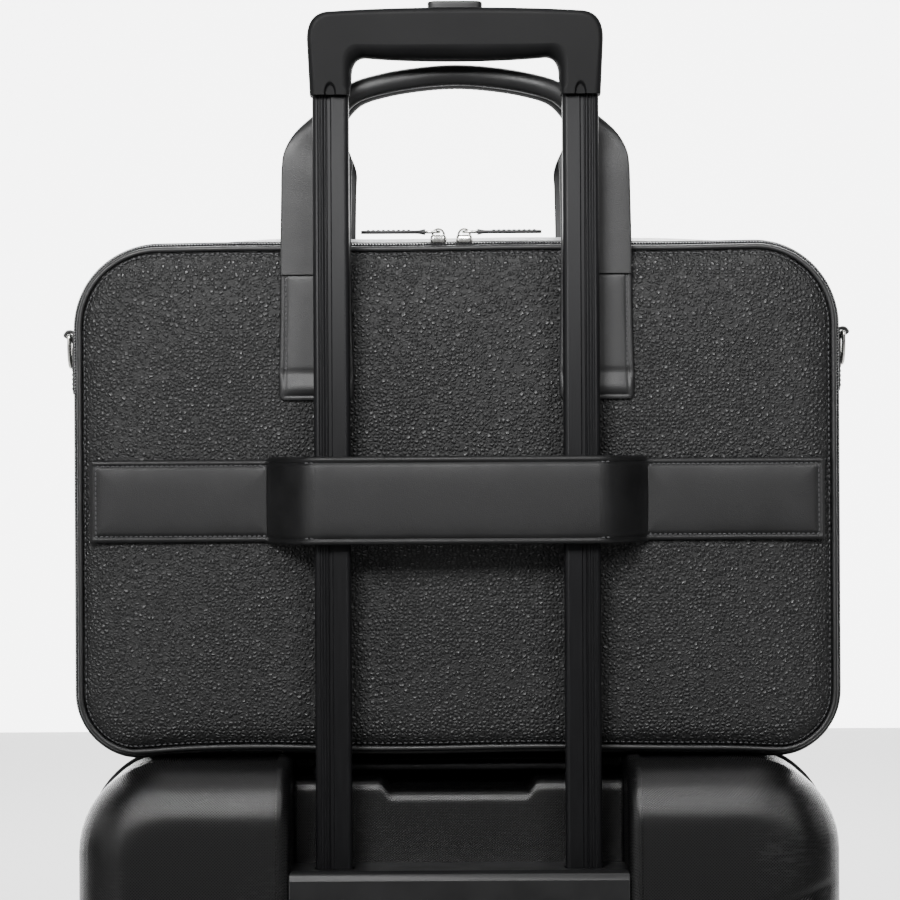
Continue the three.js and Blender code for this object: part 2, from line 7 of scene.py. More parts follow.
import enum
import json
import logging
import math
from dataclasses import dataclass, field
from typing import Callable, Iterable, Optional, Sequence

import bmesh
import bpy
import numpy as np
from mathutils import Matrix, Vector


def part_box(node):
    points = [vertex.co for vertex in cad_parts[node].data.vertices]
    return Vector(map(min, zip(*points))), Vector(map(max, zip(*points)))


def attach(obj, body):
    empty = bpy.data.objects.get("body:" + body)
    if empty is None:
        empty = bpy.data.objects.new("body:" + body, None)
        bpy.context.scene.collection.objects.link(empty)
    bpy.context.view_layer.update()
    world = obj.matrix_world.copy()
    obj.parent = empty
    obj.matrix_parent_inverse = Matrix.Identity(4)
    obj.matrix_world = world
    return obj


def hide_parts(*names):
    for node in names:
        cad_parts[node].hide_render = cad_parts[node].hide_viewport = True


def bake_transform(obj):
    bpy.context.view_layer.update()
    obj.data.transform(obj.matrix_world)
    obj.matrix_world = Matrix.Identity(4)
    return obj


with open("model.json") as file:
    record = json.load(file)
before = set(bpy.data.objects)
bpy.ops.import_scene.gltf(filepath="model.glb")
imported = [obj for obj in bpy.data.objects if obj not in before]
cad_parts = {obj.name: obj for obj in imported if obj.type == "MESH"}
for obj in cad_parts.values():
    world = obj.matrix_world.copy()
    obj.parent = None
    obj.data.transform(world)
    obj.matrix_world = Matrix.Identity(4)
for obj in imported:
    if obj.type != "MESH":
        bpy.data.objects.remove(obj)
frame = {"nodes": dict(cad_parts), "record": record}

LOG = logging.getLogger("rolling_case")
MM = 0.001
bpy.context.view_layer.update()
Array = np.ndarray
SIDES = (("left", -1), ("right", 1))


class Body(str, enum.Enum):
    """The CAD bodies that pieces ride on."""

    CASE_BACK = "case_back"
    CASE_FRONT = "case_front"
    TROLLEY = "trolley"
    BUTTON = "release_button"
    BAG = "bag"
    BAG_FRONT = "bag_front"
    REAR_HANDLE = "rear_bag_handle"
    FRONT_HANDLE = "front_bag_handle"


class Slot(str, enum.Enum):
    """The record's material slots."""

    SHELL = "shell"
    TRIM = "trim"
    ANODISED = "anodised"
    SLEEVE = "sleeve"
    GRAIN = "leather_grain"
    SMOOTH = "leather_smooth"
    ZIP = "zip"
    NICKEL = "nickel"
    TYRE = "tyre"
    PADDING = "padding"


# ---------------------------------------------------------------- numbers and curves


def smoothstep(low: float, high: float, value: Array) -> Array:
    """An even S-curve from 0 at low to 1 at high: t * t * (3 - 2t)."""
    t = np.clip((value - low) / (high - low), 0.0, 1.0)
    return t * t * (3 - 2 * t)


def extent(node: str) -> tuple[Array, Array]:
    """A CAD node's lowest and highest corners, in millimetres.

    Args:
        node: the CAD node's name.
    Returns:
        Two arrays of x, y and z.
    """
    low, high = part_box(node)
    return np.array(low) / MM, np.array(high) / MM


def unit(vectors: Array) -> Array:
    """Vectors along the last axis, each made one long."""
    return vectors / np.maximum(np.linalg.norm(vectors, axis=-1, keepdims=True), 1e-12)


def resample(points: Array, count: int, closed: bool = False) -> Array:
    """Points spaced evenly by arc length along a polyline.

    Args:
        points: the polyline, one point a row.
        count: how many points to return.
        closed: whether the last point joins the first.
    Returns:
        The evenly spaced points.
    """
    line = np.vstack([points, points[:1]]) if closed else points
    run = np.concatenate([[0.0], np.cumsum(np.linalg.norm(np.diff(line, axis=0), axis=1))])
    where = np.linspace(0.0, run[-1], count, endpoint=not closed)
    return np.stack([np.interp(where, run, line[:, k]) for k in range(line.shape[1])], axis=1)


def spline(knots: Sequence[Sequence[float]], count: int) -> Array:
    """A Catmull-Rom curve through knots, spaced evenly by arc length.

    Each stretch is half of (2b + (c-a)t + (2a-5b+4c-d)t^2 + (-a+3b-3c+d)t^3).

    Args:
        knots: the points that the curve passes through.
        count: how many points to return.
    Returns:
        The curve's points.
    """
    k = np.array(knots, float)
    k = np.vstack([2 * k[0] - k[1], k, 2 * k[-1] - k[-2]])
    t = np.linspace(0, 1, 24, endpoint=False)[None, :, None]
    a, b, c, d = (k[i : len(k) - 3 + i][:, None, :] for i in range(4))
    body = 0.5 * (2 * b + (c - a) * t + (2 * a - 5 * b + 4 * c - d) * t**2 + (3 * b - a - 3 * c + d) * t**3)
    return resample(np.vstack([body.reshape(-1, k.shape[1]), k[-2:-1]]), count)


@dataclass(frozen=True)
class Outline:
    """A rectangle in x and z with its own lower and upper corner radii, even about x = 0."""

    half_width: float
    bottom: float
    top: float
    lower: float
    upper: float

    def inset(self, by: float) -> "Outline":
        """The outline drawn in by a distance."""
        return Outline(self.half_width - by, self.bottom + by, self.top - by, self.lower - by, self.upper - by)

    def loop(self, count: int) -> Array:
        """Evenly spaced points round the outline, starting at the middle of its foot.

        Args:
            count: how many points.
        Returns:
            Points of x and z, running to the right along the foot first.
        """
        turn = np.linspace(0, np.pi / 2, 25)
        corners = [
            (self.half_width - self.lower, self.bottom + self.lower, self.lower, -np.pi / 2),
            (self.half_width - self.upper, self.top - self.upper, self.upper, 0.0),
            (-self.half_width + self.upper, self.top - self.upper, self.upper, np.pi / 2),
            (-self.half_width + self.lower, self.bottom + self.lower, self.lower, np.pi),
        ]
        arcs = [
            np.stack([x + r * np.cos(start + turn), z + r * np.sin(start + turn)], axis=1)
            for x, z, r, start in corners
        ]
        return resample(np.vstack([[[0.0, self.bottom]], *arcs]), count, closed=True)

    def inside(self, x: Array, z: Array) -> Array:
        """How far points lie inside the outline: minus the signed distance of a rounded rectangle."""
        middle = (self.bottom + self.top) / 2
        radius = np.where(z < middle, self.lower, self.upper)
        qx = np.abs(x) - self.half_width + radius
        qz = np.abs(z - middle) - (self.top - self.bottom) / 2 + radius
        outer = np.hypot(np.maximum(qx, 0), np.maximum(qz, 0))
        return radius - outer - np.minimum(np.maximum(qx, qz), 0)

    def reach(self, z: Array) -> Array:
        """The outline's half width at heights z, from the circle of each corner."""
        low = np.clip(self.bottom + self.lower - z, 0, self.lower)
        high = np.clip(z - self.top + self.upper, 0, self.upper)
        cut = self.lower - np.sqrt(np.maximum(self.lower**2 - low**2, 0))
        return self.half_width - cut - (self.upper - np.sqrt(np.maximum(self.upper**2 - high**2, 0)))


def edge_spaced(low: float, high: float, radii: tuple[float, float], step: float, extra: Iterable[float] = ()) -> Array:
    """Places from low to high, close at both ends as a circle's are and even between.

    Args:
        low: the first place.
        high: the last place.
        radii: the corner radius at the low end and at the high end.
        step: the even spacing between the corners.
        extra: places that have to be among them.
    Returns:
        The sorted places.
    """
    turn = 1 - np.cos(np.linspace(0, np.pi / 2, 13))
    a, b = low + radii[0], high - radii[1]
    middle = np.linspace(a, b, max(2, int(round((b - a) / step)) + 1))
    places = np.concatenate([low + radii[0] * turn, middle, high - radii[1] * turn])
    for place in extra:
        places[np.argmin(np.abs(places - place))] = place
    return np.unique(np.round(places, 4))


# ---------------------------------------------------------------- meshes


def grid_faces(rows: int, columns: int, wrap_rows: bool = False, wrap_columns: bool = False) -> Array:
    """The quads of a grid of points that is numbered row by row.

    Args:
        rows: how many rows of points.
        columns: how many points in a row.
        wrap_rows: whether the last row joins the first.
        wrap_columns: whether each row closes on itself.
    Returns:
        One quad of four point numbers a row.
    """
    r = np.arange(rows if wrap_rows else rows - 1)[:, None]
    c = np.arange(columns if wrap_columns else columns - 1)[None, :]
    r2, c2 = (r + 1) % rows, (c + 1) % columns
    quads = np.stack([r * columns + c, r * columns + c2, r2 * columns + c2, r2 * columns + c], axis=-1)
    return quads.reshape(-1, 4)


def open_edges(faces: Array) -> Array:
    """The edges, in their face's own direction, that only one quad of a sheet has."""
    edges = np.stack([faces, np.roll(faces, -1, axis=1)], axis=-1).reshape(-1, 2)
    key = np.sort(edges, axis=1)
    code = key[:, 0].astype(np.int64) * (int(faces.max()) + 1) + key[:, 1]
    _, first, count = np.unique(code, return_index=True, return_counts=True)
    return edges[first[count == 1]]


def two_sided(outer: Array, inner: Array, faces: Array) -> tuple[Array, Array, Array]:
    """A closed solid from two sheets of the same layout, joined along every open edge.

    Args:
        outer: the outer sheet's points.
        inner: the inner sheet's points, numbered alike.
        faces: the quads that both sheets have.
    Returns:
        The points, the quads, and each quad's part: 0 outer, 1 inner, 2 edge.
    """
    n = len(outer)
    rim = open_edges(faces)
    walls = np.stack([rim[:, 1], rim[:, 0], rim[:, 0] + n, rim[:, 1] + n], axis=1)
    parts = np.repeat([0, 1, 2], [len(faces), len(faces), len(walls)])
    return np.vstack([outer, inner]), np.vstack([faces, faces[:, ::-1] + n, walls]), parts


@dataclass
class Piece:
    """A mesh on its way to being a finished piece."""

    name: str
    points: Array
    faces: Sequence
    parts: Optional[Array] = None
    flat_above: float = 40.0

    def made(
        self,
        body: Body | str,
        slot: Slot,
        finishes: Sequence["Finish"],
        replaces: Iterable[str] = (),
        ride: bool = True,
    ) -> bpy.types.Object:
        """Makes the Blender object, dresses it, and puts it on its body.

        Args:
            body: the CAD body that it rides on.
            slot: the record's slot for the piece; not used.
            finishes: one finish, or one for each part number.
            replaces: the CAD nodes that it stands for.
            ride: False to leave the piece on no body.
        Returns:
            The object.
        """
        mesh = bpy.data.meshes.new(self.name)
        quads = self.faces.tolist() if isinstance(self.faces, np.ndarray) else list(self.faces)
        mesh.from_pydata((np.asarray(self.points) * MM).tolist(), [], quads)
        if self.parts is not None:
            index = np.minimum(self.parts, len(finishes) - 1).astype(np.int32)
            mesh.polygons.foreach_set("material_index", index)
        tidy_normals(mesh)
        mesh.polygons.foreach_set("use_smooth", np.ones(len(mesh.polygons), bool))
        mesh.set_sharp_from_angle(angle=math.radians(self.flat_above))
        for finish in finishes:
            mesh.materials.append(finish.material())
        obj = bpy.data.objects.new(self.name, mesh)
        bpy.context.scene.collection.objects.link(obj)
        if replaces:
            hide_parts(*replaces)
        if ride:
            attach(obj, str(getattr(body, "value", body)))
        LOG.info("%s: %d faces on %s", self.name, len(mesh.polygons), getattr(body, "value", body))
        return obj


def tidy_normals(mesh: bpy.types.Mesh) -> None:
    """Merges points that coincide and turns a closed mesh's faces outwards."""
    work = bmesh.new()
    work.from_mesh(mesh)
    bmesh.ops.remove_doubles(work, verts=work.verts, dist=1e-6)
    bmesh.ops.recalc_face_normals(work, faces=work.faces)
    work.to_mesh(mesh)
    work.free()


def carry(path: Array, sections: Array, across: Sequence[float]) -> Array:
    """A section carried along a path, turned to stay square to it.

    Point = path + s * side + u * up, where side = across made square to the tangent, and up = tangent x side.

    Args:
        path: the path's points, one a row.
        sections: for each path point, the section's points (s, u); or one section for all.
        across: the direction that side keeps near.
    Returns:
        Points in the layout path, section, xyz.
    """
    tangent = unit(np.gradient(path, axis=0))
    side = np.array(across, float)[None, :] - tangent * (tangent @ np.array(across, float))[:, None]
    side = unit(side)
    up = np.cross(tangent, side)
    cut = sections if sections.ndim == 3 else np.repeat(sections[None], len(path), axis=0)
    return path[:, None, :] + cut[..., :1] * side[:, None, :] + cut[..., 1:] * up[:, None, :]


def capped(name: str, rings: Array, wrap: bool = False) -> Piece:
    """A closed solid from rings of points: the rings' skin, and a fan of triangles over each end.

    Args:
        name: the piece's name.
        rings: points in the layout ring, place round the ring, xyz.
        wrap: whether the last ring joins the first, and so there are no ends.
    Returns:
        The piece.
    """
    rows, columns = rings.shape[:2]
    points = rings.reshape(-1, 3)
    quads = grid_faces(rows, columns, wrap_rows=wrap, wrap_columns=True)
    if wrap:
        return Piece(name, points, quads)
    ends = np.stack([rings[0].mean(axis=0), rings[-1].mean(axis=0)])
    total = rows * columns
    place = np.arange(columns)
    after = (place + 1) % columns
    last = (rows - 1) * columns
    fans = [np.stack([after, place, np.full(columns, total)], axis=1)]
    fans.append(np.stack([last + place, last + after, np.full(columns, total + 1)], axis=1))
    return Piece(name, np.vstack([points, ends]), quads.tolist() + np.vstack(fans).tolist())


def oval(half_s: Array | float, half_u: Array | float, power: float = 2.0, count: int = 24) -> Array:
    """A superellipse: s = a sgn(cos) |cos|^(2/p) and u = b sgn(sin) |sin|^(2/p).

    Args:
        half_s: half of its size along s, or one for each ring.
        half_u: half of its size along u, or one for each ring.
        power: 2 for an ellipse, more for a squarer form.
        count: points round it.
    Returns:
        Points (s, u), with a leading axis when the sizes are arrays.
    """
    turn = np.linspace(0, 2 * np.pi, count, endpoint=False)
    c, s = np.cos(turn), np.sin(turn)
    bent = np.stack([np.sign(c) * np.abs(c) ** (2 / power), np.sign(s) * np.abs(s) ** (2 / power)], axis=1)
    sizes = np.stack(np.broadcast_arrays(half_s, half_u), axis=-1)
    return bent[None] * sizes[:, None, :] if sizes.ndim > 1 else bent * sizes


def band(loop: Array, section: Sequence[Sequence[float]], settle: Optional[Callable[[Array], Array]] = None) -> Array:
    """A section carried round a closed loop that lies in x and z.

    Point = loop + outward normal * n, at y, for each (n, y) of the section.

    Args:
        loop: the loop's points of x and z.
        section: points of (outward offset, y).
        settle: a function that moves the finished points.
    Returns:
        Points in the layout loop, section, xyz.
    """
    ahead = unit(np.roll(loop, -1, axis=0) - np.roll(loop, 1, axis=0))
    normal = np.stack([ahead[:, 1], -ahead[:, 0]], axis=1)
    cut = np.array(section, float)
    flat = loop[:, None, :] + normal[:, None, :] * cut[None, :, :1]
    y = np.broadcast_to(cut[None, :, 1], flat.shape[:2])
    points = np.stack([flat[..., 0], y, flat[..., 1]], axis=-1)
    return settle(points) if settle else points


def stamped(name: str, shape: tuple[Array, list], centres: Array, axes: Array) -> Piece:
    """Many copies of a small shape in one mesh: point = centre + x * a + y * b + z * c.

    Args:
        name: the piece's name.
        shape: the small shape's points and faces.
        centres: where each copy stands.
        axes: for each copy, the three directions a, b and c as rows.
    Returns:
        The piece.
    """
    points, faces = shape
    placed = centres[:, None, :] + np.einsum("vk,nkj->nvj", points, axes)
    every = [tuple(i + n * len(points) for i in face) for n in range(len(centres)) for face in faces]
    return Piece(name, placed.reshape(-1, 3), every)


def capsule(length: float, radius: float, squash: float = 1.0, sides: int = 6) -> tuple[Array, list]:
    """A small rounded bar along x: rings of radius r * (0.7, 1, 0.7) between two poles.

    Args:
        length: from pole to pole.
        radius: of its middle.
        squash: its height as a share of its width.
        sides: points round it.
    Returns:
        Its points and its faces.
    """
    turn = np.linspace(0, 2 * np.pi, sides, endpoint=False)
    ring = np.stack([np.zeros(sides), np.cos(turn), np.sin(turn) * squash], axis=1)
    half = length / 2
    stations = ((-0.8 * half, 0.7 * radius), (0, radius), (0.8 * half, 0.7 * radius))
    rings = [ring * [1, s, s] + [x, 0, 0] for x, s in stations]
    points = np.vstack([*rings, [[-half, 0, 0], [half, 0, 0]]])
    skin = grid_faces(3, sides, wrap_columns=True).tolist()
    tips = [(i, (i + 1) % sides, 3 * sides) for i in range(sides)]
    tips += [(2 * sides + (i + 1) % sides, 2 * sides + i, 3 * sides + 1) for i in range(sides)]
    return points, skin + tips


def turned(name: str, profile: Sequence[Sequence[float]], centre: Sequence[float], count: int = 48) -> Piece:
    """A closed profile of (radius, x) turned about the x direction through centre.

    Args:
        name: the piece's name.
        profile: the closed profile.
        centre: a point on the axis.
        count: steps round the axis.
    Returns:
        The piece.
    """
    cut = np.array(profile, float)
    turn = np.linspace(0, 2 * np.pi, count, endpoint=False)[:, None]
    x = np.broadcast_to(cut[None, :, 1], (count, len(cut)))
    rings = np.stack([x, cut[:, 0] * np.cos(turn), cut[:, 0] * np.sin(turn)], axis=-1)
    return capped(name, rings + np.array(centre, float), wrap=True)


def plate(name: str, loop: Array, y0: float, y1: float, edge: float, steps: int = 4) -> Piece:
    """A flat solid with round rims: the loop drawn in by edge * (1 - cos a) as y runs over each rim.

    Args:
        name: the piece's name.
        loop: the outline's points of x and z.
        y0: its back.
        y1: its front.
        edge: the radius of its rims.
        steps: steps in each rim.
    Returns:
        The piece, whose two faces are single polygons.
    """
    turn = np.linspace(0, np.pi / 2, steps + 1)
    rise = edge * (1 - np.sin(turn))
    section = [(-r, y0 + edge * (1 - np.cos(a))) for r, a in zip(rise, turn)]
    section += [(-r, y1 - edge * (1 - np.cos(a))) for r, a in zip(rise[::-1], turn[::-1])]
    rings = band(loop, section).transpose(1, 0, 2)
    rows, columns = rings.shape[:2]
    quads = grid_faces(rows, columns, wrap_columns=True).tolist()
    caps = [list(range(columns))[::-1], [(rows - 1) * columns + i for i in range(columns)]]
    return Piece(name, rings.reshape(-1, 3), quads + caps, flat_above=50)


def carried(node: str, finish: "Finish", bevel: float = 0.6, round_below: float = 32) -> bpy.types.Object:
    """A CAD node's copy with its flat faces joined, its edges rounded and its curves shaded smooth.

    Args:
        node: the CAD node.
        finish: its finish.
        bevel: the width of its rounded edges, in millimetres.
        round_below: edges that turn less than this, in degrees, are part of a curve.
    Returns:
        The object that stands for the node.
    """
    source = frame["nodes"][node]
    mesh = source.data.copy()
    mesh.name = node + "_finished"
    work = bmesh.new()
    work.from_mesh(mesh)
    bmesh.ops.remove_doubles(work, verts=work.verts, dist=2e-6)
    bmesh.ops.dissolve_limit(work, angle_limit=math.radians(0.6), verts=work.verts, edges=work.edges)
    work.to_mesh(mesh)
    work.free()
    mesh.polygons.foreach_set("use_smooth", np.ones(len(mesh.polygons), bool))
    mesh.set_sharp_from_angle(angle=math.radians(round_below + 6))
    mesh.materials.clear()
    mesh.materials.append(finish.material())
    obj = bpy.data.objects.new(mesh.name, mesh)
    bpy.context.scene.collection.objects.link(obj)
    soften = obj.modifiers.new("rounded_edges", "BEVEL")
    soften.width = bevel * MM
    soften.segments = 2
    soften.limit_method = "ANGLE"
    soften.angle_limit = math.radians(round_below)
    soften.harden_normals = True
    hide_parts(node)
    owner = next(b for b, nodes in frame["record"]["behaviour"]["bodies"].items() if node in nodes)
    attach(obj, owner)
    LOG.info("%s: carried over on %s", node, owner)
    return obj


# ---------------------------------------------------------------- finishes


class Board:
    """A short way to lay out a material's nodes."""

    def __init__(self, name: str) -> None:
        """Starts an empty material with its surface shader."""
        self.result = bpy.data.materials.new(name)
        self.result.use_nodes = True
        self.tree = self.result.node_tree
        self.tree.nodes.clear()
        self.shader = self.node("ShaderNodeBsdfPrincipled")
        out = self.node("ShaderNodeOutputMaterial")
        self.tree.links.new(self.shader.outputs[0], out.inputs[0])

    def node(self, kind: str, values: Optional[dict] = None, **settings: object) -> bpy.types.Node:
        """Adds a node.

        Args:
            kind: the node's type.
            values: what goes in its inputs: a number, a colour, or another node's output.
            settings: its own properties.
        Returns:
            The node.
        """
        made = self.tree.nodes.new(kind)
        for key, value in settings.items():
            setattr(made, key, value)
        for key, value in (values or {}).items():
            if isinstance(value, bpy.types.NodeSocket):
                self.tree.links.new(value, made.inputs[key])
            else:
                made.inputs[key].default_value = value
        return made

    def place(self, stretch: tuple[float, float, float] = (1, 1, 1), turn: tuple[float, float, float] = (0, 0, 0)):
        """Object coordinates, stretched and turned.

        Args:
            stretch: the scale along each axis.
            turn: the turn about each axis, in radians.
        Returns:
            The coordinates' socket.
        """
        where = self.node("ShaderNodeTexCoord").outputs["Object"]
        return self.node("ShaderNodeMapping", {"Vector": where, "Scale": stretch, "Rotation": turn}).outputs[0]

    def noise(self, where, scale: float, detail: float = 3.0, roughness: float = 0.5):
        """Noise from 0 to 1."""
        values = {"Vector": where, "Scale": scale, "Detail": detail, "Roughness": roughness}
        return self.node("ShaderNodeTexNoise", values).outputs[0]

    def cells(self, where, scale: float, feature: str = "DISTANCE_TO_EDGE", randomness: float = 1.0):
        """The distance within a pattern of cells."""
        values = {"Vector": where, "Scale": scale, "Randomness": randomness}
        return self.node("ShaderNodeTexVoronoi", values, feature=feature).outputs["Distance"]

    def math(self, operation: str, a, b=0.0, c=0.0):
        """One step of arithmetic."""
        return self.node("ShaderNodeMath", {0: a, 1: b, 2: c}, operation=operation).outputs[0]

    def span(self, value, low: float, high: float, to_low: float, to_high: float):
        """A value's range carried onto another, held at its ends and eased between."""
        values = {0: value, 1: low, 2: high, 3: to_low, 4: to_high}
        return self.node("ShaderNodeMapRange", values, interpolation_type="SMOOTHSTEP").outputs[0]

    def blend(self, share, first: tuple, second: tuple):
        """A colour between two."""
        made = self.node("ShaderNodeMix", {0: share}, data_type="RGBA")
        made.inputs[6].default_value = (*first, 1)
        made.inputs[7].default_value = (*second, 1)
        return made.outputs[2]

    def bump(self, height, distance: float, strength: float = 1.0, under=None):
        """A bumped normal, over another where one is given."""
        values = {"Height": height, "Distance": distance, "Strength": strength}
        if under is not None:
            values["Normal"] = under
        return self.node("ShaderNodeBump", values).outputs[0]

    def surface(self, **inputs: object) -> bpy.types.Material:
        """Sets the shader's inputs, whose names have _ for a space, and returns the material."""
        for key, value in inputs.items():
            socket = self.shader.inputs[key.replace("_", " ")]
            if isinstance(value, bpy.types.NodeSocket):
                self.tree.links.new(value, socket)
            else:
                socket.default_value = value
        return self.result


@dataclass(frozen=True)
class Finish:
    """A finish that is built once and shared by every piece that has it."""

    name: str

    def material(self) -> bpy.types.Material:
        """The material, built on first use."""
        return bpy.data.materials.get(self.name) or self.build()

    def build(self) -> bpy.types.Material:
        """Lays out the material's nodes."""
        raise NotImplementedError


@dataclass(frozen=True)
class PebbledLeather(Finish):
    """Black leather with a round pebbled grain: raised cells, with painted shade darkening the creases between them."""

    name: str = "pebbled_leather"
    cell: float = 2.2
    crown: tuple = (0.0082, 0.0082, 0.0086)
    crease_shade: tuple = (0.0005, 0.0005, 0.0006)
    depth: float = 0.44

    def build(self) -> bpy.types.Material:
        """Cells warped by noise give the grain, and finer noise gives the pores."""
        b = Board(self.name)
        where = b.place()
        warp = b.node("ShaderNodeTexNoise", {"Vector": where, "Scale": 420.0, "Detail": 2.0}).outputs[1]
        bent = b.node("ShaderNodeMix", {0: 0.0009, 4: where, 5: warp}, data_type="VECTOR").outputs[1]
        cell = b.cells(bent, 1 / (self.cell * MM), randomness=0.86)
        raised = b.span(cell, 0.0, 0.40, 0, 1)
        fine = b.noise(where, 2600.0, 4.0, 0.6)
        broad = b.noise(where, 26.0, 3.0, 0.55)
        # The creases between cells are painted near black as painted shade. The crowns vary at random with the broad
        # noise.
        colour = b.blend(b.math("MULTIPLY", raised, b.span(broad, 0.3, 0.7, 0.72, 1.0)), self.crease_shade, self.crown)
        rough = b.math("ADD", b.span(raised, 0, 1, 0.60, 0.31), b.math("MULTIPLY", fine, 0.06))
        height = b.math("ADD", raised, b.math("MULTIPLY", fine, 0.10))
        return b.surface(
            Base_Color=colour, Roughness=rough, Specular_IOR_Level=0.36,
            Normal=b.bump(height, self.depth * MM, 1.0),
        )


@dataclass(frozen=True)
class SmoothLeather(Finish):
    """Smooth black strap leather: a faint tight grain and a soft polish that wears uneven."""

    name: str = "smooth_leather"
    colour: tuple = (0.0062, 0.0062, 0.0066)
    rough: float = 0.41
    shine: float = 0.42

    def build(self) -> bpy.types.Material:
        """Fine cells for the grain over a broad unevenness in the polish."""
        b = Board(self.name)
        where = b.place()
        grain = b.span(b.cells(where, 1500.0), 0.0, 0.4, 0, 1)
        pores = b.noise(where, 1900.0, 5.0, 0.65)
        broad = b.noise(where, 34.0, 4.0, 0.6)
        dark = tuple(0.62 * c for c in self.colour)
        colour = b.blend(b.span(broad, 0.25, 0.75, 0, 1), dark, self.colour)
        wear = b.span(broad, 0.3, 0.7, self.rough - 0.06, self.rough + 0.08)
        rough = b.math("ADD", wear, b.math("MULTIPLY", pores, 0.1))
        soft = b.bump(broad, 0.8 * MM, 0.25)
        height = b.math("ADD", b.math("MULTIPLY", grain, 0.6), pores)
        return b.surface(Base_Color=colour, Roughness=rough, Specular_IOR_Level=self.shine,
                         Normal=b.bump(height, 0.09 * MM, 0.6, soft))


@dataclass(frozen=True)
class Cloth(Finish):
    """A plain woven cloth: two sets of threads, over and under."""

    name: str = "woven_cloth"
    pitch: float = 0.9
    light: tuple = (0.030, 0.030, 0.033)
    dark: tuple = (0.008, 0.008, 0.009)
    sheen: float = 0.15

    def build(self) -> bpy.types.Material:
        """Height = |sin(u)| * |sin(v)| along two directions that are square on every face."""
        b = Board(self.name)
        parts = b.node("ShaderNodeSeparateXYZ", {0: b.place()}).outputs
        rate = math.pi / (self.pitch * MM)
        flat = b.math("ADD", parts[0], parts[1])
        warp = b.math("ABSOLUTE", b.math("SINE", b.math("MULTIPLY", flat, rate)))
        slant = b.math("ADD", parts[2], b.math("MULTIPLY", parts[1], 0.5))
        weft = b.math("ABSOLUTE", b.math("SINE", b.math("MULTIPLY", slant, rate)))
        weave = b.math("MULTIPLY", warp, weft)
        fuzz = b.noise(b.place(), 900.0, 4.0)
        colour = b.blend(b.math("MULTIPLY", weave, b.span(fuzz, 0.2, 0.8, 0.6, 1)), self.dark, self.light)
        return b.surface(
            Base_Color=colour, Roughness=b.span(fuzz, 0.2, 0.8, 0.78, 0.95), Sheen_Weight=self.sheen,
            Normal=b.bump(b.math("ADD", weave, b.math("MULTIPLY", fuzz, 0.3)), 0.16 * MM, 0.8),
        )


@dataclass(frozen=True)
class Moulded(Finish):
    """Moulded plastic with an eroded texture and faint handling marks."""

    name: str = "moulded_plastic"
    colour: tuple = (0.0030, 0.0030, 0.0032)
    rough: float = 0.48
    grain: float = 0.07
    scale: float = 2400.0
    shine: float = 0.10

    def build(self) -> bpy.types.Material:
        """Fine noise for the texture, broad noise for the handling marks."""
        b = Board(self.name)
        where = b.place()
        fine = b.noise(where, self.scale, 3.0, 0.55)
        broad = b.noise(where, 22.0, 5.0, 0.62)
        lift = tuple(1.35 * c for c in self.colour)
        colour = b.blend(b.span(broad, 0.35, 0.7, 0, 1), self.colour, lift)
        wear = b.span(broad, 0.3, 0.7, self.rough - 0.05, self.rough + 0.06)
        rough = b.math("ADD", wear, b.math("MULTIPLY", fine, 0.06))
        return b.surface(
            Base_Color=colour, Roughness=rough, Specular_IOR_Level=self.shine,
            Normal=b.bump(fine, self.grain * MM, 0.7),
        )


@dataclass(frozen=True)
class DiamondShell(Finish):
    """A glossy black shell pressed all over with a fine diamond hatch."""

    name: str = "diamond_shell"
    pitch: float = 1.65
    half_depth: float = 110.0
    colour: tuple = (0.0016, 0.0016, 0.0017)
    worn_colour: tuple = (0.0028, 0.0028, 0.0030)
    gap_rough: float = 0.34
    stud_rough: float = 0.19
    shine: float = 0.34
    relief: float = 0.075

    def build(self) -> bpy.types.Material:
        """Height = |sin(a + b)| * |sin(a - b)|, where a runs up the shell and b runs round it.

        Past the rolled edges a and b also grow with t, the depth behind the face, so the diamonds keep their size.
        """
        b = Board(self.name)
        where = b.place()
        parts = b.node("ShaderNodeSeparateXYZ", {0: where}).outputs
        rate = math.pi / (self.pitch * MM)
        t = b.math("SUBTRACT", self.half_depth * MM, b.math("ABSOLUTE", parts[1]))
        beside = b.span(b.math("ABSOLUTE", parts[0]), 0.06, 0.174, 0, 1)
        round_it = b.math("ADD", parts[0], b.math("MULTIPLY", b.math("SIGN", parts[0]), b.math("MULTIPLY", t, beside)))
        up = b.math("ADD", parts[2], b.math("MULTIPLY", t, b.span(parts[2], 0.40, 0.535, 0, 1)))
        up_right = b.math("MULTIPLY", b.math("ADD", up, round_it), rate)
        up_left = b.math("MULTIPLY", b.math("SUBTRACT", up, round_it), rate)
        hatch = b.math(
            "MULTIPLY", b.math("ABSOLUTE", b.math("SINE", up_right)), b.math("ABSOLUTE", b.math("SINE", up_left)))
        broad = b.noise(where, 15.0, 5.0, 0.6)
        scuffs = b.noise(b.place((1, 1, 6)), 160.0, 6.0, 0.7)
        worn = b.span(b.math("MULTIPLY", broad, scuffs), 0.28, 0.42, 0, 1)
        colour = b.blend(worn, self.colour, self.worn_colour)
        rough = b.math("ADD", b.span(hatch, 0, 1, self.gap_rough, self.stud_rough), b.math("MULTIPLY", worn, 0.12))
        return b.surface(
            Base_Color=colour, Roughness=rough, Specular_IOR_Level=self.shine,
            Normal=b.bump(hatch, self.relief * MM, 1.0),
        )


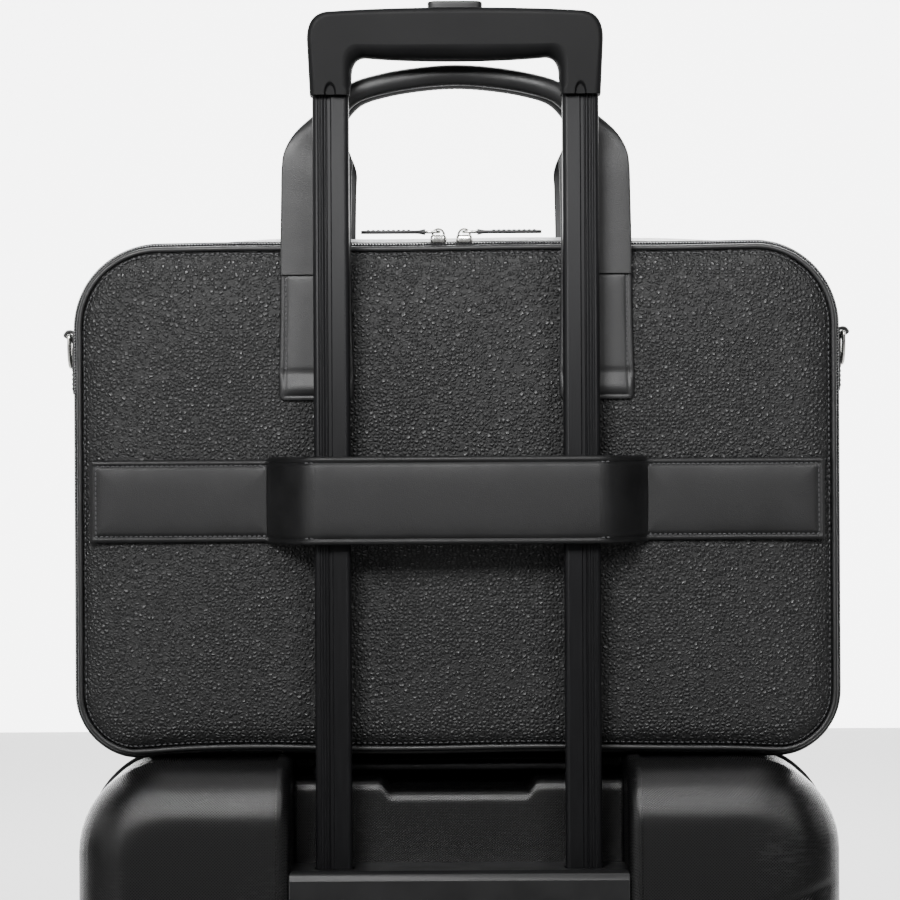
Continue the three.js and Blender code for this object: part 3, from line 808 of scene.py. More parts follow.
@dataclass(frozen=True)
class DrawnMetal(Finish):
    """Metal with fine lines drawn along z."""

    name: str = "anodised_black"
    colour: tuple = (0.0045, 0.0045, 0.0049)
    rough: float = 0.38
    metallic: float = 0.08
    shine: float = 0.11
    lines: float = 0.03

    def build(self) -> bpy.types.Material:
        """Noise stretched far along z gives the lines."""
        b = Board(self.name)
        lines = b.noise(b.place((1, 1, 0.012)), 2600.0, 4.0, 0.7)
        broad = b.noise(b.place((1, 1, 0.3)), 40.0, 4.0)
        lift = tuple(1.7 * c for c in self.colour)
        colour = b.blend(b.span(lines, 0.3, 0.75, 0, 1), self.colour, lift)
        wear = b.span(lines, 0.3, 0.7, self.rough - 0.05, self.rough + 0.07)
        rough = b.math("ADD", wear, b.math("MULTIPLY", broad, 0.08))
        return b.surface(Base_Color=colour, Metallic=self.metallic, Roughness=rough, Specular_IOR_Level=self.shine,
                         Normal=b.bump(lines, self.lines * MM, 0.5))


@dataclass(frozen=True)
class PolishedMetal(Finish):
    """Plated metal with a light polish and small scratches."""

    name: str = "nickel_plate"
    colour: tuple = (0.70, 0.69, 0.66)
    rough: float = 0.17

    def build(self) -> bpy.types.Material:
        """Fine scratches in the roughness and a soft cast in the colour."""
        b = Board(self.name)
        marks = b.noise(b.place((1, 8, 1)), 900.0, 5.0, 0.7)
        cast = b.noise(b.place(), 90.0, 3.0)
        dull = tuple(0.82 * c for c in self.colour)
        rough = b.span(marks, 0.35, 0.75, self.rough, self.rough + 0.16)
        return b.surface(
            Base_Color=b.blend(cast, dull, self.colour), Metallic=1.0, Roughness=rough,
            Normal=b.bump(marks, 0.012 * MM, 0.4),
        )


@dataclass(frozen=True)
class Thread(Finish):
    """Black sewing thread, twisted and faintly waxed."""

    name: str = "black_thread"

    def build(self) -> bpy.types.Material:
        """Slanting twist lines over black."""
        b = Board(self.name)
        twist = b.noise(b.place((1, 1, 1), (0.6, 0.6, 0)), 5200.0, 2.0)
        return b.surface(
            Base_Color=b.blend(twist, (0.010, 0.010, 0.011), (0.034, 0.034, 0.036)), Roughness=0.62,
            Normal=b.bump(twist, 0.05 * MM, 0.7),
        )


GRAIN = PebbledLeather()
SMOOTH = SmoothLeather()
# The trolley band and its patches use the smooth strap leather painted darker and less shiny. This is painted shade for
# their lower place on the bag.
BAND_LEATHER_PAINTED_SHADE = SmoothLeather("band_leather_painted_shade", (0.0042, 0.0042, 0.0045), 0.46, 0.28)
THREAD = Thread()
TAPE = Cloth("zip_tape", 0.55, (0.020, 0.020, 0.022), (0.006, 0.006, 0.007), 0.1)
COIL = Moulded("nylon_coil", (0.016, 0.016, 0.017), 0.34, 0.02, 3000.0)
LINING = Cloth("lining_cloth", 0.8, (0.050, 0.051, 0.056), (0.016, 0.016, 0.018), 0.25)
SHELL = DiamondShell()
TRIM = Moulded()
SATIN = Moulded("satin_plastic", (0.0036, 0.0036, 0.0039), 0.36, 0.03, 2600.0, 0.3)
RUBBER = Moulded("tyre_rubber", (0.020, 0.020, 0.020), 0.62, 0.06, 1500.0)
ANODISED = DrawnMetal()
MILL = DrawnMetal("mill_aluminium", (0.30, 0.31, 0.32), 0.34, 1.0, lines=0.02)
NICKEL = PolishedMetal()


# ---------------------------------------------------------------- the soft bag


@dataclass(frozen=True)
class Layer:
    """One side of the bag: which way is out, the places across it, and the names of its CAD nodes."""

    name: str
    body: Body
    out: int
    bead: float
    seam: float
    face: float
    inner: float


@dataclass
class Bag:
    """The leather bag: two padded panels, piping, coil zips, the gusset and the lining."""

    lower_corner: float = 34.0
    upper_corner: float = 46.0
    bead_radius: float = 1.5
    bead_inset: float = 3.7
    loop_count: int = 560
    tooth_pitch: float = 1.6
    outline: Outline = field(init=False)
    layers: list[Layer] = field(init=False)

    def __post_init__(self) -> None:
        """Takes the bag's size and layers from the CAD nodes' boxes."""
        low, high = extent("rear_piping")
        self.outline = Outline(high[0], low[2], high[2], self.lower_corner, self.upper_corner)
        rear, front = extent("back_panel"), extent("front_panel")
        front_bead = extent("front_piping")
        self.layers = [
            Layer("rear", Body.BAG, -1, (low[1] + high[1]) / 2, high[1], rear[0][1], rear[1][1]),
            Layer("front", Body.BAG_FRONT, 1, (front_bead[0][1] + front_bead[1][1]) / 2, front_bead[0][1],
                  front[1][1], front[0][1]),
        ]

    def settle(self, points: Array) -> Array:
        """Lets the bag's foot wave a little, as a stuffed bag's does: dz = w(x) * fade(z).

        Args:
            points: points of x, y and z along the last axis.
        Returns:
            The moved points.
        """
        x, z = points[..., 0], points[..., 2]
        wave = 1.9 * np.exp(-(((x + 112) / 52) ** 2)) + 1.3 * np.exp(-(((x - 40) / 60) ** 2))
        wave -= 1.1 * np.exp(-(((np.abs(x) - 176) / 20) ** 2))
        fade = 1 - smoothstep(self.outline.bottom, self.outline.bottom + 55, z)
        moved = points.copy()
        moved[..., 2] += wave * fade + 0.35 * np.sin(x / 23.0) * smoothstep(self.outline.top - 40, self.outline.top, z)
        return moved

    def panel_points(self, layer: Layer) -> tuple[Array, Array, Array]:
        """A padded panel's two sheets.

        The outer one rises from its seam by 5.4(1 - exp(-d/3.2)) + 2.6(1 - exp(-d/34)) at distance d from its edge,
        with shallow puckers by the seam and a slow unevenness over the padding.

        Args:
            layer: which side of the bag.
        Returns:
            The outer points, the inner points and their quads.
        """
        edge = self.outline.inset(4.3)
        z = edge_spaced(edge.bottom, edge.top, (edge.lower, edge.upper), 3.2)
        s = edge_spaced(-edge.half_width, edge.half_width, (40.0, 40.0), 3.2) / edge.half_width
        zz = np.repeat(z[:, None], len(s), axis=1)
        xx = edge.reach(zz) * s[None, :]
        d = np.maximum(edge.inside(xx, zz), 0)
        rise = 5.4 * (1 - np.exp(-d / 3.2)) + 2.6 * (1 - np.exp(-d / 34))
        pucker = 0.22 * np.exp(-d / 7) * (np.sin(xx / 2.1 + 1.3 * np.sin(zz / 17)) + np.sin(zz / 1.9 + np.sin(xx / 23)))
        uneven = 0.32 * np.sin(xx / 41 + 0.9) * np.sin(zz / 33 + 0.4) + 0.16 * np.sin(xx / 19 - zz / 27)
        pressed = 0.0
        if layer.out < 0:
            pressed = 0.5 * np.exp(-(((np.abs(xx) - 67) / 9) ** 2)) * smoothstep(0, 30, d)
        y = layer.face - layer.out * (8.0 - rise - np.where(d > 0, pucker + uneven * smoothstep(0, 25, d), 0) + pressed)
        outer = self.settle(np.stack([xx, y, zz], axis=-1).reshape(-1, 3))
        inner = outer.copy()
        inner[:, 1] = layer.inner
        return outer, inner, grid_faces(*zz.shape)

    def panels(self) -> None:
        """Both padded panels, leather outside and lining inside."""
        for layer in self.layers:
            points, faces, parts = two_sided(*self.panel_points(layer))
            parts = np.where(parts == 1, 1, 0)
            node = "back_panel" if layer.out < 0 else "front_panel"
            panel = Piece(layer.name + "_panel_leather", points, faces, parts).made(
                layer.body, Slot.GRAIN, (GRAIN, LINING), (node,))

    def piping(self) -> None:
        """The leather bead round each panel, with its flange down to the seam and a row of stitches in it."""
        turn = np.linspace(0, 1.5 * np.pi, 14)
        for layer in self.layers:
            bead = layer.bead + 0.9 * layer.out
            section = [(-self.bead_inset - self.bead_radius * math.sin(a),
                        bead - layer.out * self.bead_radius * math.cos(a)) for a in turn[::-1]]
            section += [(-1.9, layer.seam), (-4.6, layer.seam)]
            rings = band(self.outline.loop(self.loop_count), section[:: layer.out], self.settle)
            Piece(layer.name + "_piping_bead", *self._closed(rings), flat_above=75).made(
                layer.body, Slot.GRAIN, (SMOOTH,), (layer.name + "_piping",))
            self._stitches(layer.name + "_seam_stitches", layer.body, -6.6, layer.bead + layer.out * 2.6, 3.0)

    def _closed(self, rings: Array) -> tuple[Array, Array]:
        """The points and quads of rings that close both ways."""
        rows, columns = rings.shape[:2]
        return rings.reshape(-1, 3), grid_faces(rows, columns, True, True)

    def _stitches(self, name: str, body: Body, offset: float, y: float, pitch: float) -> None:
        """A row of stitches round the bag's outline.

        Args:
            name: the piece's name.
            body: its body.
            offset: how far outside the outline.
            y: its place across the bag.
            pitch: from stitch to stitch.
        """
        length = 2 * (self.outline.half_width * 2 + self.outline.top - self.outline.bottom) - 140
        loop = self.outline.loop(int(length / pitch))
        centres = band(loop, [(offset, y)], self.settle)[:, 0]
        ahead = unit(np.roll(centres, -1, 0) - np.roll(centres, 1, 0))
        out = np.tile([[0.0, np.sign(y + 20), 0.0]], (len(centres), 1))
        axes = np.stack([ahead, np.cross(ahead, out), out], axis=1)
        stamped(name, capsule(pitch * 0.74, 0.42, 0.7), centres, axes).made(body, Slot.SMOOTH, (THREAD,))

    def zips(self) -> None:
        """A tape with raised edges and two rows of coil along each zip, closed at the bag's foot by a plain strip."""
        for name in ("rear_zip", "front_zip"):
            low, high = extent(name)
            middle = (low[1] + high[1]) / 2
            half = (high[1] - low[1]) / 2 + 0.3
            section = [(-1.5, middle - half), (-1.7, middle - half + 1.4), (-2.0, middle - 0.4), (-2.0, middle + 0.4),
                       (-1.7, middle + half - 1.4), (-1.5, middle + half), (-5.2, middle + half), (-5.2, middle - half)]
            rings = band(self.outline.loop(self.loop_count), section, self.settle)
            Piece(name + "_tape", *self._closed(rings), flat_above=70).made(Body.BAG, Slot.ZIP, (TAPE,), (name,))
            self._coil(name + "_coil", middle)

    def _coil(self, name: str, middle: float) -> None:
        """The zip's coil: slanting bars in two rows, over the top and down both ends.

        Args:
            name: the piece's name.
            middle: its place across the bag.
        """
        loop = self.outline.loop(int(1330 / self.tooth_pitch))
        row = band(loop, [(-0.9, middle)], self.settle)[:, 0]
        ahead = unit(np.roll(row, -1, 0) - np.roll(row, 1, 0))
        keep = row[:, 2] > self.outline.bottom + 26
        row, ahead = row[keep], ahead[keep]
        out = unit(np.cross(ahead, np.tile([[0.0, -1.0, 0.0]], (len(row), 1))))
        out *= np.sign(np.sum(out * (row - [0, middle, 705]), axis=1, keepdims=True))
        centres, bars = [], []
        for way in (-1, 1):
            slant = unit(np.array([[0.0, 1.0, 0.0]]) + 0.22 * way * ahead)
            shift = way * 1.45 * np.array([[0.0, 1.0, 0.0]]) + (0.5 if way > 0 else 0.0) * self.tooth_pitch * ahead
            centres.append(row + shift)
            bars.append(np.stack([slant, np.cross(slant, out), out], axis=1))
        stamped(name, capsule(3.3, 0.72, 0.9), np.vstack(centres), np.vstack(bars)).made(Body.BAG, Slot.ZIP, (COIL,))

    def gusset(self) -> None:
        """The leather gusset with bound edges, a slight crown between them, and its cloth lining."""
        low, high = extent("gusset")
        y0, y1 = low[1], high[1]
        t = np.linspace(0, 1, 15)
        y = y0 + 2.4 + (y1 - y0 - 4.8) * t
        crown = -0.6 + 1.3 * np.sin(np.pi * t)
        roll = np.linspace(0, np.pi, 6)
        lip0 = [(-0.6 + 1.25 * math.sin(a), y0 + 1.2 - 1.2 * math.cos(a)) for a in roll[:-1]]
        lip1 = [(-0.6 + 1.25 * math.sin(a), y1 - 1.2 - 1.2 * math.cos(a)) for a in roll[1:]]
        outer = [(-3.0, y0), *lip0, *zip(crown, y), *lip1, (-3.0, y1)]
        rings = band(self.outline.loop(self.loop_count), outer, self.settle)
        swell = np.sin(np.pi * np.clip((rings[..., 1] - y0 - 3) / (y1 - y0 - 6), 0, 1)) ** 0.7
        on_top = smoothstep(self.outline.top - 9, self.outline.top - 3, rings[..., 2])
        rings[..., 2] += 3.3 * swell * on_top * (1 - smoothstep(95, 165, np.abs(rings[..., 0] - 8)))
        Piece("gusset_leather", *self._closed(rings), flat_above=60).made(Body.BAG, Slot.GRAIN, (SMOOTH,), ("gusset",))
        inner = [(-3.1, y0 + 0.2), (-3.1, y1 - 0.2), (-4.4, y1 - 0.2), (-4.4, y0 + 0.2)]
        rings = band(self.outline.loop(320), inner, self.settle)
        Piece("gusset_lining", *self._closed(rings)).made(Body.BAG, Slot.PADDING, (LINING,))
        for name, place in (("gusset_stitches_rear", y0 + 4.2), ("gusset_stitches_front", y1 - 4.2)):
            self._side_stitches(name, place)

    def _side_stitches(self, name: str, y: float) -> None:
        """A row of stitches that lies on the gusset, over the top and down both ends."""
        pitch = 3.4
        loop = self.outline.loop(int(1330 / pitch))
        row = band(loop, [(0.0, y)], self.settle)[:, 0]
        ahead = unit(np.roll(row, -1, 0) - np.roll(row, 1, 0))
        keep = row[:, 2] > self.outline.bottom + 3
        row, ahead = row[keep], ahead[keep]
        across = np.tile([[0.0, 1.0, 0.0]], (len(row), 1))
        axes = np.stack([ahead, across, np.cross(ahead, across)], axis=1)
        stamped(name, capsule(pitch * 0.72, 0.42, 0.7), row, axes).made(Body.BAG, Slot.SMOOTH, (THREAD,))

    def divider(self) -> None:
        """The padded cloth wall of the laptop compartment, quilted down its length and bound round its edge."""
        low, high = extent("laptop_divider")
        edge = Outline(high[0], low[2], high[2], self.lower_corner - 5.5, 12.0)
        z = edge_spaced(edge.bottom, edge.top, (edge.lower, edge.upper), 5.0)
        s = edge_spaced(-edge.half_width, edge.half_width, (26.0, 26.0), 5.0) / edge.half_width
        zz = np.repeat(z[:, None], len(s), axis=1)
        xx = edge.reach(zz) * s[None, :]
        d = np.maximum(edge.inside(xx, zz), 0)
        quilt = 0.55 + 0.45 * np.abs(np.sin(np.pi * (xx + 2 * edge.half_width) / 67.3)) ** 0.4
        half = 0.7 + (high[1] - low[1] - 1.4) / 2 * (1 - np.exp(-d / 5)) * quilt
        middle = (low[1] + high[1]) / 2
        sheets = [np.stack([xx, middle + way * half, zz], axis=-1).reshape(-1, 3) for way in (-1, 1)]
        points, faces, _ = two_sided(*sheets, grid_faces(*zz.shape))
        wall = Piece("padded_divider", points, faces).made(Body.BAG, Slot.PADDING, (LINING,), ("laptop_divider",))
        loop = edge.loop(260)
        turn = np.linspace(0, 2 * np.pi, 10, endpoint=False)
        section = np.stack([-0.6 + 1.3 * np.cos(turn), middle + 1.6 * np.sin(turn)], 1)
        Piece("divider_binding", *self._closed(band(loop, section[::-1]))).made(Body.BAG, Slot.PADDING, (TAPE,))

    def build(self) -> None:
        """Makes the whole body of the bag."""
        self.panels()
        self.piping()
        self.zips()
        self.gusset()
        self.divider()


def stitch_row(name: str, path: Array, out: Sequence[float], body: Body, pitch: float = 2.7) -> None:
    """A row of stitches along a path.

    Args:
        name: the piece's name.
        path: the path's points.
        out: the direction that the stitches face.
        body: the body that they ride on.
        pitch: from stitch to stitch.
    """
    length = np.linalg.norm(np.diff(path, axis=0), axis=1).sum()
    line = resample(path, max(4, int(length / pitch)))
    ahead = unit(np.gradient(line, axis=0))
    face = np.tile(np.array([out], float), (len(line), 1))
    axes = np.stack([ahead, np.cross(face, ahead), face], axis=1)
    stamped(name, capsule(pitch * 0.76, 0.5, 0.75), line, axes).made(body, Slot.SMOOTH, (THREAD,))


@dataclass
class SewnStraps:
    """Everything of smooth strap leather that is sewn flat to the bag."""

    thickness: float = 3.0
    rim: float = 1.6
    patch_lift: float = 0.9
    tab_half: float = 19.0
    tab_flare: float = 1.0
    tab_top: float = 829.0

    def _pad(self, u: Array, v: Array, half_u: float, half_v: float, lift: float, rim: float = 2.2) -> Array:
        """How thick a sewn patch is: thin at its edge, a raised rim, a sewn channel, then a soft middle.

        Args:
            u: places along the patch from its middle.
            v: places across it from its middle.
            half_u: half of its length.
            half_v: half of its width.
            lift: how far the middle is padded.
            rim: how wide its raised rim is.
        Returns:
            The thickness over its own leather.
        """
        d = np.minimum(half_u - np.abs(u), half_v - np.abs(v))
        edge = 1 - np.exp(-np.maximum(d, 0) / 0.55)
        channel = 0.75 * np.exp(-(((d - rim - 1.1) / 0.75) ** 2))
        soft = lift * (1 - np.exp(-np.maximum(d - rim - 1.4, 0) / 4.5))
        return 0.55 * self.thickness * edge - channel + soft

    def band_points(self) -> tuple[Array, Array, Array]:
        """The trolley band and its two sewn ends as one strap that steps out round the tubes.

        Its plan is a curve through the patches, the two slopes and the front stretch; the strap's height and padding
        change along it.

        Returns:
            The outer points, the inner points and the quads.
        """
        low, high = extent("trolley_strap")
        patch_low, patch_high = extent("strap_patch_right")
        end, base = patch_high[0], patch_high[1]
        front = low[1] + 1.2
        knots = [(end, base), (end - 40, base), (end - 80, base), (104, base), (99, base - 2.6), (91, -86.5),
                 (82.5, front + 4.4), (77.5, front + 0.9), (70, front), (40, front - 0.4), (0, front - 0.5)]
        half = np.array(knots, float)
        plan = spline(np.vstack([half, (half * [-1, 1])[-2::-1]]).tolist(), 300)[::-1]
        run = np.concatenate([[0], np.cumsum(np.linalg.norm(np.diff(plan, axis=0), axis=1))])
        ahead = unit(np.gradient(plan, axis=0))
        out = np.stack([ahead[:, 1], -ahead[:, 0]], axis=1)
        out *= -np.sign(out[:, 1:2])
        on_patch = smoothstep(98, 104, np.abs(plan[:, 0]))[:, None]
        v = edge_spaced(-1, 1, (0.28, 0.28), 0.07)[None, :]
        low_z = low[2] * (1 - on_patch) + patch_low[2] * on_patch
        high_z = high[2] * (1 - on_patch) + patch_high[2] * on_patch
        z = (low_z + high_z) / 2 + v * (high_z - low_z) / 2
        half_v = (high_z - low_z) / 2
        from_end = np.minimum(run, run[-1] - run)[:, None]
        from_seam = np.abs(np.abs(plan[:, :1]) - 100.5)
        d_u = np.where(on_patch > 0.5, np.minimum(from_end, from_seam + 3.2), 60.0)
        d = np.minimum(d_u, half_v - np.abs(v) * half_v)
        thick = 0.9 + self._pad(60 - d, np.zeros_like(d), 60, 200, self.patch_lift)
        shape = np.broadcast_shapes(thick.shape, z.shape)
        thick, z = np.broadcast_to(thick, shape), np.broadcast_to(z, shape)
        outer = np.stack([plan[:, :1] + out[:, :1] * thick, plan[:, 1:] + out[:, 1:] * thick, z], axis=-1)
        inner = np.stack([np.broadcast_to(plan[:, :1], shape), np.broadcast_to(plan[:, 1:], shape), z], axis=-1)
        return outer.reshape(-1, 3), inner.reshape(-1, 3), grid_faces(*shape)

    def trolley_band(self) -> None:
        """The band that the telescopic handle passes through, with its stitching."""
        points, faces, _ = two_sided(*self.band_points())
        nodes = ("trolley_strap", "strap_patch_left", "strap_patch_right")
        # Its leather is the smooth strap leather painted darker, as painted shade.
        strap = Piece("trolley_band_leather", points, faces).made(Body.BAG, Slot.SMOOTH, (BAND_LEATHER_PAINTED_SHADE,), nodes)
        low, high = extent("strap_patch_right")
        y = low[1] + 0.75
        for name, way in SIDES:
            x0, x1, z0, z1 = 104.0, high[0] - 3.3, low[2] + 3.3, high[2] - 3.3
            box = np.array([(x0, y, z0), (x1, y, z0), (x1, y, z1), (x0, y, z1), (x0, y, z0)]) * [way, 1, 1]
            path = np.vstack([resample(box[i : i + 2], 40) for i in range(4)])
            stitch_row("patch_stitches_" + name, path, (0, -1, 0), Body.BAG, 2.6)
        low, high = extent("trolley_strap")
        for name, z in (("upper", high[2] - 3.4), ("lower", low[2] + 3.4)):
            line = np.array([(-80, low[1] - 0.15, z), (80, low[1] - 0.15, z)], float)
            stitch_row("band_stitches_" + name, line, (0, -1, 0), Body.BAG, 2.6)

    def tabs(self) -> None:
        """The four folded tabs that the carry handles are sewn in, each with a rolled lip at its foot."""
        for end, out, body in (("rear", -1, Body.BAG), ("front", 1, Body.BAG_FRONT)):
            for name, way in SIDES:
                node = f"{end}_tab_{name}"
                low, high = extent(node)
                base = high[1] if out < 0 else low[1]
                v = edge_spaced(low[2] - 1.5, self.tab_top + 1.0, (3.5, 3.5), 1.6)
                u = edge_spaced(-1, 1, (0.25, 0.25), 0.08)
                vv, uu = np.meshgrid(v, u, indexing="ij")
                foot = low[2] - 1.5
                half = self.tab_half + 0.3 + self.tab_flare * (1 - smoothstep(foot, foot + 60, vv))
                nip = 2.4 * (1 - np.sqrt(np.clip(1 - ((foot + 4 - vv) / 4).clip(0) ** 2, 0, 1)))
                x = (low[0] + high[0]) / 2 + uu * (half - nip)
                d_side = (1 - np.abs(uu)) * half
                middle = (foot + self.tab_top) / 2
                pad = self._pad(middle - vv, np.maximum(half - d_side, 0), (self.tab_top - foot) / 2 + 1, half, 1.0)
                lip = 1.5 * np.exp(-(((vv - foot - 6) / 4.2) ** 2)) - 0.9 * np.exp(-(((vv - foot - 14.5) / 1.4) ** 2))
                thick = 0.66 + 0.62 * pad + 0.85 * lip * np.clip(d_side / 3, 0, 1)
                outer = np.stack([x, base + out * thick, vv], axis=-1).reshape(-1, 3)
                inner = np.stack([x, np.full_like(x, base), vv], axis=-1).reshape(-1, 3)
                points, faces, _ = two_sided(outer, inner, grid_faces(*vv.shape))
                tab = Piece(node + "_leather", points, faces).made(body, Slot.SMOOTH, (SMOOTH,), (node,))
                self._tab_stitches(node, (low[0] + high[0]) / 2, foot + 17, base + out * 1.3, out, body)

    def _tab_stitches(self, node: str, x: float, foot: float, y: float, out: int, body: Body) -> None:
        """The box of stitches on a tab."""
        half = self.tab_half - 2.7
        box = np.array([(x - half, y, foot), (x + half, y, foot), (x + half, y, self.tab_top - 2.6),
                        (x - half, y, self.tab_top - 2.6), (x - half, y, foot)], float)
        path = np.vstack([resample(box[i : i + 2], 30) for i in range(4)])
        stitch_row(node + "_stitches", path, (0, out, 0), body, 2.6)


@dataclass
class CarryHandle:
    """One of the bag's two carry handles: two straps that roll up into one round grip."""

    node: str
    parent: Body
    body: Body
    out: int
    hinge_z: float
    strap_half: float = 19.0
    thickness: float = 3.0
    grip_radius: float = 5.7

    def path(self) -> tuple[Array, Array]:
        """The handle's centre line and how far along its roll each point is, from 0, flat strap, to 1, round grip."""
        low, high = extent(self.node)
        x = (high[0] - low[0]) / 2 - self.strap_half
        flat_y = low[1] + self.thickness / 2 if self.out < 0 else high[1] - self.thickness / 2
        grip_y = flat_y - self.out * 3.6
        crown = high[2] - self.grip_radius
        start = self.hinge_z - (22 if self.out < 0 else 8)
        half = [(x, flat_y, start), (x, flat_y, start + 20), (x - 0.4, flat_y, 868), (x - 0.9, flat_y, 884),
                (x - 3.2, flat_y - self.out * 1.0, crown - 35), (x - 9.5, grip_y, crown - 21),
                (x - 20, grip_y, crown - 10), (x - 36, grip_y, crown - 4.6), (x - 56, grip_y, crown - 1.3)]
        left = [(-a, b, c) for a, b, c in half]
        line = spline(left + [(0, grip_y, crown)] + half[::-1], 220)
        run = np.concatenate([[0], np.cumsum(np.linalg.norm(np.diff(line, axis=0), axis=1))])
        tail = np.minimum(run, run[-1] - run)
        flat_length = 886 - start
        return line, smoothstep(flat_length, flat_length + 34, tail)

    def build(self) -> None:
        """Sweeps a section that goes from a flat strap to a round grip, and adds the sewn seam along the grip."""
        line, roll = self.path()
        half_s = self.strap_half * (1 - roll) + self.grip_radius * roll
        half_u = (self.thickness / 2) * (1 - roll) + self.grip_radius * roll
        bulge = 1.0 + 0.25 * np.sin(np.pi * roll) ** 2
        count = 32
        turn = np.linspace(0, 2 * np.pi, count, endpoint=False)
        power = 2.0 + 5.0 * (1 - roll)[:, None]
        c, s = np.cos(turn)[None], np.sin(turn)[None]
        su = np.stack([np.sign(c) * np.abs(c) ** (2 / power) * half_s[:, None],
                       np.sign(s) * np.abs(s) ** (2 / power) * (half_u * bulge)[:, None]], axis=-1)
        fold = 2.6 * np.sin(np.pi * roll)[:, None] * (su[..., 0] / np.maximum(half_s[:, None], 1)) ** 2
        su[..., 1] += -self.out * fold
        tangent = unit(np.gradient(line, axis=0))
        up = np.tile([[0.0, 1.0, 0.0]], (len(line), 1))
        side = unit(np.cross(up, tangent))
        rings = line[:, None, :] + su[..., :1] * side[:, None, :] + su[..., 1:] * up[:, None, :]
        handle = capped(self.node + "_leather", rings)
        obj = handle.made(self.body, Slot.SMOOTH, (SMOOTH,), (self.node,), ride=False)
        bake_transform(obj)
        self._seam(line, roll)

    def _seam(self, line: Array, roll: Array) -> None:
        """The sewn seam along the inner side of the round grip."""
        grip = line[roll > 0.98]
        below = grip + np.stack([0 * grip[:, 0], -self.out * -0.35 * self.grip_radius + 0 * grip[:, 0],
                                 -self.grip_radius * 0.93 + 0 * grip[:, 0]], axis=1)
        stitch_row(self.node + "_stitches", below, (0, 0, -1), self.body, 3.0)


